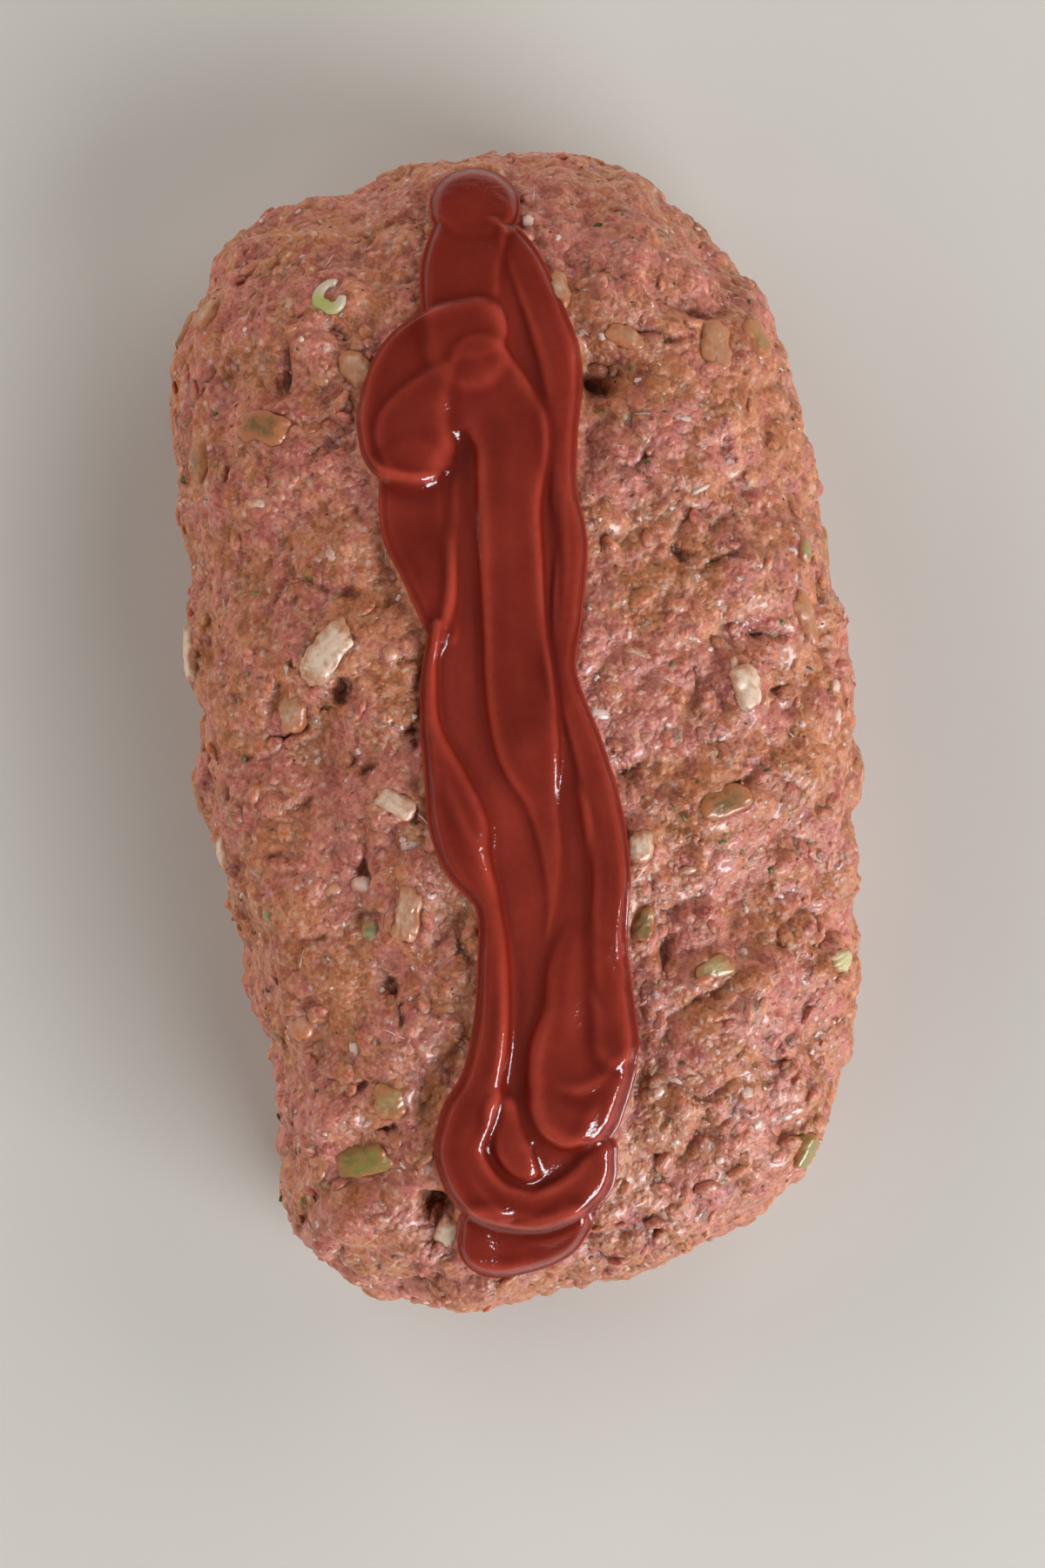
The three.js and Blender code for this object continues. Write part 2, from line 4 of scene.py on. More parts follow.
import bpy
import numpy as np
from bpy.props import FloatProperty, FloatVectorProperty, IntProperty, PointerProperty
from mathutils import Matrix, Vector


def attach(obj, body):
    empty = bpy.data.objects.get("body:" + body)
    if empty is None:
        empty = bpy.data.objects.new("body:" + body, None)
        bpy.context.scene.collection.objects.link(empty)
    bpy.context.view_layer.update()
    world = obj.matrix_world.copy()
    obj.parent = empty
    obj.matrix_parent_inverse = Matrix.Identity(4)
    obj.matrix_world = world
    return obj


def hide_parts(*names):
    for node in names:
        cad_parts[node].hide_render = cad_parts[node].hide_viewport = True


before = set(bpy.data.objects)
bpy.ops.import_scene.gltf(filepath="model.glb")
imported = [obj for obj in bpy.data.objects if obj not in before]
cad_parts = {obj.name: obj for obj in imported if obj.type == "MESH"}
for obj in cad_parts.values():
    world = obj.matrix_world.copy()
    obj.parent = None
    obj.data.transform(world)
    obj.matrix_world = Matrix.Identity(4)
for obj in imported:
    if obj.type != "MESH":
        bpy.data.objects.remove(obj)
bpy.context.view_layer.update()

bl_info = {
    "name": "Raw meatloaf",
    "version": (1, 0, 0),
    "blender": (4, 5, 0),
    "location": "3D View > Sidebar > Meatloaf",
    "description": "Makes the finished surfaces of a raw meatloaf round its packed model",
    "category": "Add Mesh",
}

# Shapes are worked out in millimetres and put into meshes in metres.
MM = 0.001
BODY = "root"

# ---- the loaf's driving dimensions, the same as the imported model's ----
SPINE_HALF = 48.0
CROWN = 54.5
CROWN_DROP = 2.0
WIDEST = 13.0
TUCK = 0.95
SIDE_POWER, FAR_POWER, NEAR_POWER = 2.7, 2.35, 2.75
STEPS_SIDE, STEPS_END = 4, 8
REACH = np.array([
    61.0, 63, 64, 62,
    60, 61, 62, 65, 64, 63, 70, 65,
    62, 61, 63, 61,
    57, 58, 71, 69, 63, 62, 65, 61,
])
# Lumps (+) and dents (-): x, y, radius, height.
LUMPS = np.array([
    [-33, 75, 9, 2.6], [-37, 66, 6, -2.8], [-55, 74, 12, 2.2], [-20, 88, 12, 1.2],
    [-48, 12, 11, 3.0], [-40, 1, 7, -2.4], [-52, 40, 14, 1.6], [-30, 44, 12, 1.2],
    [-52, -12, 12, 1.6], [-34, -22, 7, -1.4], [-46, -42, 13, 2.0], [-33, -52, 8, 1.4],
    [-42, -69, 10, 3.6], [-36, -79, 6, -4.2], [-47, -90, 10, 1.6], [-24, -92, 4.5, -5.5],
    [24, 76, 11, 2.4], [18, 61, 4.5, -4.0], [44, 68, 12, 1.4], [33, 50, 12, 1.6],
    [44, 24, 11, 2.8], [37, 13, 7, -1.8], [54, -12, 14, 1.8], [30, -10, 10, 1.2],
    [42, -36, 8, -1.8], [50, -52, 12, 2.2], [24, -42, 6, -1.6], [30, -70, 13, 1.8],
    [46, -78, 10, 1.4], [12, -98, 12, 1.2],
])
LUMP_FADE = 10.0
# Waves of the hand-shaped surface: amplitude, radians a millimetre along x, y and z, and phase.
RIPPLES = np.array([
    [0.55, 0.16, 0.05, 0.10, 0.4], [0.5, -0.09, 0.17, 0.13, 1.9], [0.4, 0.21, -0.14, 0.19, 3.3],
    [0.35, 0.28, 0.22, -0.17, 5.1], [0.3, -0.31, 0.26, 0.24, 2.6],
])
# A section's swing: a right angle from the crown to the widest line, and 1 from there to the foot.
FULL_SWING = np.pi / 2 + 1
SWING_STEPS = 4001
TINY = 1e-9
# As far out as the smooth surface's height is still asked for, as a share of its reach.
RIM_SHARE = 0.999
# Squareness of the diced pieces and of the beds that the mince makes for them.
BLOCK_POWER = 3.2

# ---- the sauce's driving dimensions ----
# Each squeezed strand as points of x, y, half width and height of its top over what it lies on,
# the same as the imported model's.
STRANDS = {
    "far_lobe": [[-0.5, 94.5, 8.5, 3], [-0.5, 95.5, 8.5, 3]],
    "neck": [[-1, 90, 7.5, 2.6], [-3.5, 82, 8, 2.6], [-4, 74, 8, 2.4], [-4, 66, 8, 2.2]],
    "right_ribbon": [
        [5.5, 88, 2.5, 2], [7.5, 81, 4, 2.4], [10.5, 70, 4.5, 2.8], [12, 62, 4.5, 2.8],
        [11, 50, 3.5, 2.8], [10.5, 40, 3, 2.8], [11, 30, 3.5, 2.6], [9, 18, 3.5, 2.6],
        [7.5, 7, 3, 2.4], [10.5, -6, 3.5, 2.6], [12.5, -18, 4, 2.8], [13, -29, 4, 3],
        [11.5, -42, 4, 3.2], [11.5, -60, 4.5, 3],
    ],
    "upper_fold": [
        [-2, 70, 6.5, 2.4], [-8.5, 69, 6.5, 2.6], [-14, 63.5, 8, 2.8], [-16.5, 56, 8.5, 3],
        [-16.5, 51.5, 8.5, 3],
    ],
    "left_pool": [[-15.5, 45, 6.5, 2], [-16, 36, 6.5, 2], [-14.5, 29, 5.5, 2], [-12, 16, 3.5, 2]],
    "fold_strand": [[-8, 46, 1.5, 1.6], [-9, 35, 2, 1.8], [-10.5, 24, 2, 1.8], [-14, 13, 1.5, 1.6]],
    "lower_fold": [[-5, 58.5, 7.5, 2.8], [-10, 57, 7, 2.8], [-14.5, 53, 8, 2.8], [-14.5, 50.5, 8, 2.8]],
    "centre_ribbon": [
        [-2, 63.5, 6.5, 2.8], [1, 55, 8, 3], [2.5, 49, 7.5, 3.2], [1, 38, 6.5, 3.4],
        [0.5, 28, 6.5, 3.4], [0, 15, 6.5, 3.4], [0, 5, 7, 3.2], [0.5, -6, 6.5, 2.8],
        [2, -15, 4, 2.4], [3, -24, 3, 2.2], [2.5, -33, 2, 1.8], [0.5, -41, 1, 1],
    ],
    "left_strand": [
        [-13.5, 18, 1.5, 2.4], [-15.5, 9, 2, 2.6], [-16, 0, 2.5, 2.8], [-14, -10, 4.5, 3],
        [-12.5, -18, 6, 3], [-11.5, -25, 5, 3], [-8.5, -33, 3, 3], [-8.5, -44, 3.5, 3.4],
        [-10, -56, 4, 3.6], [-12.5, -65, 4.5, 3.8], [-15.5, -71, 5.5, 3.8],
    ],
    "inner_strand": [[-5, -12, 1, 0.6], [-4, -18, 2, 1], [-2.5, -27, 2.5, 1.2], [-1.5, -44, 1, 0.6]],
    "middle_strand": [[7, -10, 1.5, 0.8], [8.5, -18, 2.5, 1.2], [8.5, -26, 2, 1.2], [7.5, -34, 1.5, 1]],
    "near_pool": [
        [-14.5, -92, 5.5, 2.6], [-14, -96.5, 6, 2.8], [-8, -96.5, 6, 2.8], [-3, -95, 5.5, 2.8],
        [0.5, -92, 4.5, 2.6],
    ],
    "near_sheet": [[-9.5, -70, 4, 3], [-8.5, -77, 4.5, 3], [-6.5, -82, 3.5, 2.8]],
    "near_ring": [
        [-16, -72, 5.5, 3.8], [-17.5, -78, 5.5, 3.8], [-14, -85.5, 6, 3.8], [-7, -89, 5.5, 3.8],
        [-1, -88, 5.5, 3.8], [4.5, -84.5, 5, 3.6], [7, -79, 3.5, 3.4],
    ],
    "near_tongue": [
        [9, -33, 3, 0.4], [8, -39, 6, 1.6], [7, -46, 8, 2.8], [6.5, -54, 9, 3.8],
        [5, -62, 10.5, 4.4], [3, -70, 9.5, 4.6],
    ],
}
# The layers that the strands make, the lowest first: how much of what lies beneath still shows
# through, how wide the rounded edge is, how high the raised rim is, and the strands in it.
LAYERS = [
    (0.0, 2.2, 0.25, ["right_ribbon"]),
    (0.35, 2.4, 0.15, ["neck", "far_lobe"]),
    (0.35, 2.0, 0.1, ["left_pool"]),
    (0.4, 1.8, 0.4, ["upper_fold"]),
    (0.6, 1.8, 0.15, ["fold_strand"]),
    (0.35, 1.9, 0.55, ["lower_fold", "centre_ribbon"]),
    (0.9, 1.8, 0.1, ["inner_strand"]),
    (0.9, 1.8, 0.1, ["middle_strand"]),
    (0.0, 2.2, 0.3, ["near_pool"]),
    (0.2, 2.0, 0.0, ["near_sheet"]),
    (0.35, 2.8, 0.3, ["left_strand", "near_ring"]),
    (0.35, 3.4, 0.25, ["near_tongue"]),
]
# Fine folds (+) and furrows (-) on the sauce: points of x, y, half width and height.
LINES = {
    "rolled lip": [[-22.5, 49, 1, 0], [-21, 45.5, 1.5, 1], [-17, 43.5, 1.5, 1.1], [-13, 43.5, 1.5, 1],
                   [-10.5, 45, 1, 0]],
    "lobe crease": [[1, 92, 0.5, 0], [3.5, 90.5, 0.5, 0.4], [5, 88.5, 0.5, 0.4], [7, 89, 0.5, 0.4],
                    [9, 86.5, 0.5, 0]],
    "neck line": [[4.5, 85.5, 1, 0], [4, 80.5, 1, 0.3], [4.5, 75, 1, 0]],
    "ribbon crease": [[9.5, 46, 0.8, 0], [9.5, 36, 0.8, -0.4], [9, 26, 0.8, -0.45], [7.5, 14, 0.8, 0]],
    "leaf ridge": [[-15.5, -7, 1.5, 0], [-13.5, -14, 1.5, 0.4], [-10.5, -22, 1.5, 0.4], [-8, -31, 1.2, 0]],
    "left crest": [[-8, -38, 1, 0], [-8, -50, 1, 0.3], [-9.5, -60, 1, 0.4], [-12, -67, 1, 0]],
    "left furrow": [[-5, -38, 1.5, 0], [-5, -48, 1.5, -0.4], [-6, -58, 1.5, -0.4], [-8, -66, 1, 0]],
    "tongue furrow": [[9, -36, 1, 0], [8.5, -43, 1, -0.35], [8.5, -49, 1, -0.35], [10.5, -54, 1, 0]],
    "tongue ridge": [[7, -38, 1.5, 0], [5, -45, 2, 0.4], [4, -54, 2, 0.4], [4.5, -61, 1.5, 0]],
    "right ridge": [[13.5, -38, 1, 0], [13.5, -47, 1, 0.3], [14, -59, 1, 0.3], [12, -68.5, 1, 0]],
    "tongue hollow": [[7.5, -57.5, 3.5, -0.35], [11.5, -58.5, 3.5, -0.35]],
    "cross fold": [[-1, -65.5, 1, 0], [4, -67, 1.2, 0.4], [9, -65, 1.2, 0.4], [13, -61, 1, 0]],
    "cross furrow": [[0, -68.5, 1.5, 0], [5, -69.5, 1.5, -0.4], [10, -67.5, 1.5, 0]],
    "end crest": [[8, -68, 1.2, 0], [6, -72, 1.3, 0.4], [3.5, -76, 1.3, 0.4], [-1, -78, 1.2, 0.1]],
    "sheet furrow": [[-11.5, -70, 1, 0], [-12.5, -78, 1, -0.5], [-9, -83, 1, -0.5], [-2, -83.5, 1, -0.4],
                     [4, -80.5, 1, 0]],
    "ring crest": [[-17, -81, 1, 0], [-12, -88, 1, 0.3], [-5, -90.5, 1, 0.35], [2, -89, 1, 0.35],
                   [7, -83.5, 1, 0.1]],
    "pool crest": [[-8, -95.5, 1, 0], [-3, -95.5, 1, 0.35], [2, -93, 1, 0.3], [4.5, -91, 1, 0]],
    "pool ridge": [[-17.5, -99, 1.2, 0.2], [-12.5, -100.5, 1.2, 0.35], [-7, -100, 1.2, 0.1]],
}

# ---- the mince's crevices and bits ----
# Crevices: x, y, turn in degrees, length, width and depth.
CREVICES = [
    [18.5, 60, -25, 5, 2.2, 3.5], [30, 67.5, -20, 8, 1.8, 2.5], [39, 72, 0, 4, 2.5, 1.5],
    [43.5, 61.5, -45, 2.5, 1.2, 2], [28.5, 91.5, 0, 2.5, 1.5, 1.2], [32, 27.5, -20, 4, 1.5, 2],
    [39, 32.5, 30, 4, 2, 1.5], [46, 12, -5, 6, 1.6, 2.5], [48.5, 1.5, -15, 3, 1.5, 1.5],
    [26.5, 4, 0, 5, 1.2, 0.8], [38.5, -15, 30, 4, 1.5, 2], [21.5, -45, 90, 6, 2.2, 2],
    [29, -53, 10, 4.5, 1.6, 1.5], [44.5, -45.5, -45, 3.5, 1, 1.2], [52, -46.5, 0, 4, 1.2, 1.5],
    [43, -66.5, 10, 5, 1.6, 1.5], [20, -82.5, 10, 7, 1.8, 1.2], [32, -89.5, 15, 3, 2, 1.5],
    [17.5, -97.5, -20, 4, 1.8, 2], [-26, 70.5, -60, 7, 2.2, 3], [-38, 68, 80, 8, 1.8, 2.5],
    [-33, 8, 60, 4, 3, 3.5], [-43, 1.5, 15, 6, 1.6, 2.5], [-40.5, 13, -60, 2.5, 1.2, 2],
    [-19.5, -1.5, -75, 4, 2, 2.5], [-28.5, -7, 20, 3, 1.5, 1.5], [-43, -12.5, 35, 4.5, 1.8, 1.5],
    [-21.5, -15.5, 0, 2.5, 2, 2.5], [-31, -24.5, -60, 4.5, 2.2, 2.5], [-31, -33, 0, 4, 2.5, 1.5],
    [-46.5, -21.5, -10, 5, 1.5, 1.2], [-28.5, -47.5, 80, 4, 1.8, 2.5], [-27, -52, 80, 4, 1.8, 2],
    [-41.5, -63, 0, 3, 1.5, 1.5], [-37, -65, 15, 5, 1.5, 2], [-31.5, -72.5, 10, 3.5, 1.5, 3],
    [-35.5, -81.5, 5, 6, 2.2, 2], [-23.5, -87, 0, 5.5, 4, 5], [-26, -104, 0, 3, 1.2, 1],
]
# Mounds of mince: x, y, radius, height, and how pink they are, 0 to 1.
MOUNDS = [
    [-32.5, 70, 6, 3, 1.0], [-42, -73, 7, 1.6, 0.7], [-45.5, -52.5, 4, 1.2, 0.0],
    [41, -27, 7, 0.4, 1.0], [35, -83, 6, 0.4, 0.6], [30, 82, 11, 0.3, 0.6],
]
# Small bits: x, y, size along x, size along y, and paleness (or brightness of the green), 0 to 1.
PALE_BITS = [
    [-36, 78.5, 4, 5, 0.3], [-31.5, 93.5, 5, 3, 0.3], [-31, 63.5, 3.5, 3, 0.3], [-26, 64, 3, 2.5, 0.4],
    [-42, 66.5, 3, 1.5, 0.8], [-45, 43.5, 4, 2.5, 0.5], [-32, 32, 3, 3, 0.6], [-22.5, 13, 3, 3, 0.4],
    [-22, -21.5, 4, 2.5, 0.9], [-32, -27.5, 4, 3, 0.9], [-37.5, -28, 4, 4, 0.1],
    [-45.5, -52.5, 5, 6, 0.1], [-36, -57.5, 2.5, 3.5, 0.9], [-31, -97, 3, 2, 0.4], [9, 91, 2.5, 2.5, 1],
    [37.5, 54, 2.5, 2.5, 1], [34, 51, 4, 2, 0.8], [44, 53, 1.5, 1.5, 0.9], [35.5, 38.5, 4, 1.2, 0.8],
    [52, 27, 3, 1.5, 0.7], [30.5, 18, 2, 2, 0.7], [22, 9.5, 5, 1.5, 0.6], [39, 6.5, 1.5, 3, 0.7],
    [14.5, -1, 4.5, 2.5, 1], [33, -5.5, 1.5, 1.5, 0.8], [44.5, -8, 2, 2.5, 0.7],
    [51, -5.5, 1.5, 1.5, 0.8], [31.5, -21, 1.5, 1.5, 0.8], [27, -30, 4, 2, 0.4],
    [59.5, 1.5, 3, 3, 0.8], [59, -5, 4, 5, 0.8], [45, -0.5, 3, 3, 0.3], [36.5, -46, 2, 2, 0.9],
    [23.5, -51, 5, 1.5, 0.4], [45, -70.5, 3, 3, 0.2], [34.5, -71.5, 2.5, 2.5, 0.8],
    [36.5, -77.5, 2.5, 3, 0.8], [42, -77.5, 3.5, 2, 0.7], [29.5, -84, 2, 2, 0.7],
    [21, -80, 2.5, 2.5, 0.6], [22, -67.5, 3.5, 5, 0.8], [18, -70.5, 5, 4, 0.5],
]
GREEN_BITS = [
    [-47, 27.5, 3, 2, 0.5], [-36.5, 28.5, 3, 3, 0.2], [-49.5, 12.5, 2, 2, 0.4], [-38, 2.5, 2, 2, 0.5],
    [-55, -13, 3, 4, 0.4], [-50, -32.5, 3, 3, 0.6], [-31, -36.5, 4, 4, 0.8], [-42.5, -56.5, 2.5, 2.5, 0.6],
    [16.5, 68.5, 2, 2, 0.4], [21.5, 62, 2.5, 2, 0.1], [24.5, 61.5, 2.5, 2, 0.1], [18.5, 54, 3, 1.5, 0.3],
    [30, 52.5, 2, 1.5, 0.4], [17.5, -11.5, 1.2, 2, 0], [26.5, -17.5, 2, 2.5, 0.5], [37, -67.5, 2, 2, 0.1],
    [38.5, -71, 2, 2, 0.1], [29.5, -88.5, 2, 2, 0.4], [55, 26.5, 3, 5.5, 0.6],
]


# ---- numbers: easing and noise ----
def eased(value, low, high):
    """0 below low, 1 above high, and the curve 3t2 - 2t3 between them."""
    t = np.clip((value - low) / (high - low), 0, 1)
    return t * t * (3 - 2 * t)


def through(a, b, c, d, f):
    """The uniform Catmull-Rom curve from b to c at share f, with a before and d after them."""
    return b + 0.5 * f * (c - a + f * (2 * a - 5 * b + 4 * c - d + f * (3 * (b - c) + d - a)))


LOW_BITS = np.uint64(0xFFFFFFFF)
# What stands for too far to matter, in cell sizes and in millimetres.
NO_CELL, NO_SAUCE = 9.0, 99


def scrambled(x, y, z, seed):
    """Even random numbers from 0 to 1 for whole-number places: the numbers are multiplied by large
    odd numbers and added, and the sum's bits are folded over and multiplied three times."""
    h = x.astype(np.uint64) * np.uint64(374761393) + y.astype(np.uint64) * np.uint64(668265263)
    h = (h + z.astype(np.uint64) * np.uint64(2246822519) + np.uint64(seed * 3266489917 + 1)) & LOW_BITS
    for shift, factor in ((15, 2246822519), (13, 3266489917), (16, 668265263)):
        h = ((h ^ (h >> np.uint64(shift))) * np.uint64(factor)) & LOW_BITS
    return (h >> np.uint64(8)).astype(float) / 0xFFFFFF


def clouds(points, size, seed):
    """Smooth noise, about -1 to 1. Space is cut into cubes of the given size whose corners hold
    random slopes, and a point mixes its cube's eight rises by the curve 6t5 - 15t4 + 10t3."""
    place = points / size
    base = np.floor(place)
    part = place - base
    base = base.astype(np.int64)
    fade = part**3 * (part * (part * 6 - 15) + 10)
    total = np.zeros(len(points))
    for corner in np.ndindex(2, 2, 2):
        corner = np.array(corner)
        at = base + corner
        off = part - corner
        rise = sum((scrambled(*at.T, seed + k) * 2 - 1) * off[:, k] for k in range(3))
        total += rise * np.prod(np.where(corner, fade, 1 - fade), axis=1)
    return total * 1.5


def cells(points, size, seed):
    """Cell noise: every cube of the given size holds one random pip. Gives the distances to the
    nearest and second nearest pips, in sizes, and the nearest pip's own random number."""
    place = points / size
    base = np.floor(place).astype(np.int64)
    near = np.full(len(points), NO_CELL)
    second = near.copy()
    own = np.zeros(len(points))
    for step in np.ndindex(3, 3, 3):
        at = base + np.array(step) - 1
        pip = np.stack([scrambled(*at.T, seed + k) for k in range(3)], axis=1)
        distance = np.linalg.norm(at + pip - place, axis=1)
        closer = distance < near
        second = np.where(closer, near, np.minimum(second, distance))
        own = np.where(closer, pip[:, 0], own)
        near = np.where(closer, distance, near)
    return near, second, own


# ---- the loaf's smooth form ----
def reach_at(w):
    """Closed Catmull-Rom curve through the reach values at station w."""
    k = np.floor(w).astype(int)
    f = w - k
    return through(*(REACH[(k + step) % len(REACH)] for step in (-1, 0, 1, 2)), f)


def power_at(w):
    """The section's squareness: the sides' value, blended to each end's own by half a sine wave."""
    far = np.sin(np.pi * np.clip((w - STEPS_SIDE) / STEPS_END, 0, 1))
    near = np.sin(np.pi * np.clip((w - 2 * STEPS_SIDE - STEPS_END) / STEPS_END, 0, 1))
    return SIDE_POWER + (FAR_POWER - SIDE_POWER) * far + (NEAR_POWER - SIDE_POWER) * near


def station_at(w):
    """The spine point's y and the outward angle that belong to station w."""
    end = STEPS_SIDE + STEPS_END
    turns = [0, STEPS_SIDE, end, end + STEPS_SIDE, len(REACH)]
    return SPINE_HALF * np.interp(w, turns, [-1, 1, 1, -1, -1]), np.pi * np.interp(w, turns, [0, 0, 1, 1, 2])


def side_station(share, on_right):
    """The station on the right or left side at a share of the spine from its near end."""
    return np.where(on_right, STEPS_SIDE * share, STEPS_SIDE + STEPS_END + STEPS_SIDE * (1 - share))


def station_of(x, y):
    """The station of a plan point, and its distance from the spine."""
    along = np.clip(y, -SPINE_HALF, SPINE_HALF)
    share = (along / SPINE_HALF + 1) / 2
    turn = np.arctan2(y - along, x) / np.pi
    far = STEPS_SIDE + turn * STEPS_END
    near = 2 * STEPS_SIDE + STEPS_END + (turn + 1) * STEPS_END
    w = np.where(y > SPINE_HALF, far, np.where(y < -SPINE_HALF, near, side_station(share, x >= 0)))
    return w, np.hypot(x, y - along)


def unevenness(points):
    """Waves and lumps: sines of the place, and bell-shaped lumps that fade out near the base."""
    rise = np.zeros(len(points))
    for amplitude, a, b, c, phase in RIPPLES:
        rise += amplitude * np.sin(points @ np.array([a, b, c]) + phase)
    for x, y, radius, height in LUMPS:
        rise += height * np.exp(-((points[:, 0] - x) ** 2 + (points[:, 1] - y) ** 2) / radius**2)
    return rise * eased(points[:, 2], 0, LUMP_FADE)


def section(swing, power):
    """How far out, up and down a section's point is: a quarter superellipse of the power over a
    right angle of swing, and past it a tuck inwards that grows as the square of the way down."""
    upper = np.clip(swing, 0, np.pi / 2)
    down = np.clip(swing - np.pi / 2, 0, None)
    out = np.sin(upper) ** (2 / power) - (1 - TUCK) * down**2
    return out, np.cos(upper).clip(0) ** (2 / power), down


def loaf_points(w, swing):
    """Points and outward directions at station w. The section is a quarter superellipse from the
    crown to the widest line (swing 0 to a right angle) and a gentle tuck from there to the base."""
    along, angle = station_at(w)
    reach = reach_at(w)
    rise = CROWN - CROWN_DROP * (along / SPINE_HALF) ** 2 - WIDEST
    power = power_at(w)
    out, up, down = section(swing, power)
    points = np.stack([
        np.cos(angle) * reach * out,
        along + np.sin(angle) * reach * out,
        WIDEST + rise * up - WIDEST * down,
    ], axis=1)
    lean = np.clip(out, 0, None) ** (power - 1) / reach
    normals = np.stack([np.cos(angle) * lean, np.sin(angle) * lean, up ** (power - 1) / rise], axis=1)
    normals /= np.linalg.norm(normals, axis=1, keepdims=True)
    return points + normals * unevenness(points)[:, None], normals


def loaf_top(x, y):
    """The height of the loaf's smooth surface above plan points."""
    w, distance = station_of(x, y)
    out = np.minimum(distance / reach_at(w), RIM_SHARE)
    return loaf_points(w, np.arcsin(out ** (power_at(w) / 2)))[0][:, 2]


def even_swing(share):
    """The swing at a share of the section's length, found along the mean section in fine steps."""
    swing = np.linspace(0, FULL_SWING, SWING_STEPS)
    out, up, down = section(swing, SIDE_POWER)
    x, z = REACH.mean() * out, (CROWN - WIDEST) * up - WIDEST * down
    length = np.concatenate([[0], np.cumsum(np.hypot(np.diff(x), np.diff(z)))])
    return np.interp(share * length[-1], length, swing)


def wrapped_net(across, along):
    """Station and ring of every point of a net laid over the loaf: its middle line lies on the
    crown over the spine, and its square rings are bent round the ends by equal angles."""
    i, j = np.meshgrid(np.arange(across + 1), np.arange(along + 1), indexing="ij")
    p = 2 * i.ravel() / across - 1
    q = (2 * j.ravel() - along) / across
    straight = along / across - 1
    e = q - np.clip(q, -straight, straight)
    big = np.maximum(np.abs(p), np.abs(e))
    small = np.minimum(np.abs(p), np.abs(e))
    lean = np.pi / 4 * small / np.maximum(big, TINY)
    lean = np.where(np.abs(p) >= np.abs(e), lean, np.pi / 2 - lean)
    turn = np.where(p >= 0, lean, np.pi - lean) / np.pi
    share = (np.clip(q / straight, -1, 1) + 1) / 2
    far = STEPS_SIDE + STEPS_END * turn
    near = 2 * STEPS_SIDE + STEPS_END + STEPS_END * (1 - turn)
    w = np.where(e > 0, far, np.where(e < 0, near, side_station(share, p >= 0)))
    return np.clip(w, 0, len(REACH) - TINY), big


# ---- meshes ----
def new_piece(name, points, faces, material, slot, attributes, node_names=()):
    """A smooth-shaded mesh from points in millimetres and faces of equal corner count or a list
    of such groups, with a number at each point for every attribute. It rides on the body, takes
    the given finish and stands for the named nodes. The slot is not used."""
    groups = faces if isinstance(faces, list) else [faces]
    mesh = bpy.data.meshes.new(name)
    mesh.vertices.add(len(points))
    mesh.vertices.foreach_set("co", (np.asarray(points) * MM).astype(np.float32).ravel())
    counts = np.concatenate([np.full(len(group), group.shape[1]) for group in groups])
    mesh.loops.add(int(counts.sum()))
    mesh.loops.foreach_set("vertex_index", np.concatenate([g.ravel() for g in groups]).astype(np.int32))
    mesh.polygons.add(len(counts))
    mesh.polygons.foreach_set("loop_start", np.concatenate([[0], np.cumsum(counts)[:-1]]).astype(np.int32))
    for key, values in attributes.items():
        layer = mesh.attributes.new(key, "FLOAT", "POINT")
        layer.data.foreach_set("value", np.asarray(values, np.float32))
    mesh.update(calc_edges=True)
    mesh.validate()
    mesh.shade_smooth()
    mesh.materials.append(material)
    piece = bpy.data.objects.new(name, mesh)
    bpy.context.scene.collection.objects.link(piece)
    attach(piece, BODY)
    if node_names:
        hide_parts(*node_names)
    return piece


def net_faces(rows, columns, wrap=False):
    """Four-cornered faces of a grid of points; wrap joins the last column to the first."""
    i, j = np.meshgrid(np.arange(rows - 1), np.arange(columns if wrap else columns - 1), indexing="ij")
    i, j = i.ravel(), j.ravel()
    k = (j + 1) % columns
    return np.stack([i * columns + j, (i + 1) * columns + j, (i + 1) * columns + k, i * columns + k], axis=1)


def end_fans(rows, columns):
    """Three-cornered faces that close the first and last rows of a wrapped grid, round two
    points that follow the grid's own."""
    j = np.arange(columns)
    k = (j + 1) % columns
    last = (rows - 1) * columns
    return np.concatenate([
        np.stack([np.full(columns, rows * columns), j, k], axis=1),
        np.stack([np.full(columns, rows * columns + 1), last + k, last + j], axis=1),
    ])


def ball(rings, sides):
    """A unit ball's points and faces: rings of latitude between two poles on the x axis."""
    lat = np.linspace(0, np.pi, rings + 2)[1:-1]
    lon = np.arange(sides) * 2 * np.pi / sides
    lon = lon[None, :] + (np.arange(rings) % 2)[:, None] * np.pi / sides
    band = np.stack([
        np.broadcast_to(np.cos(lat)[:, None], lon.shape),
        np.sin(lat)[:, None] * np.cos(lon),
        np.sin(lat)[:, None] * np.sin(lon),
    ], axis=2).reshape(-1, 3)
    quads = net_faces(rings, sides, wrap=True)
    faces = [end_fans(rings, sides), quads[:, [0, 1, 2]], quads[:, [0, 2, 3]]]
    return np.concatenate([band, [[1, 0, 0], [-1, 0, 0]]]), np.concatenate(faces)


def squared_frames(first, third):
    """Frames of three square axes: the third ones are given, and the first ones lean as given."""
    first = first - third * np.sum(first * third, axis=1, keepdims=True)
    first /= np.linalg.norm(first, axis=1, keepdims=True)
    return np.stack([first, np.cross(third, first), third], axis=1)


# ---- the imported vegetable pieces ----
def node_corners(node):
    """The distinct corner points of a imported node, in millimetres."""
    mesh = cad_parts[node].data
    corners = np.empty(len(mesh.vertices) * 3, np.float32)
    mesh.vertices.foreach_get("co", corners)
    return np.unique((corners.reshape(-1, 3) / MM).round(3), axis=0)


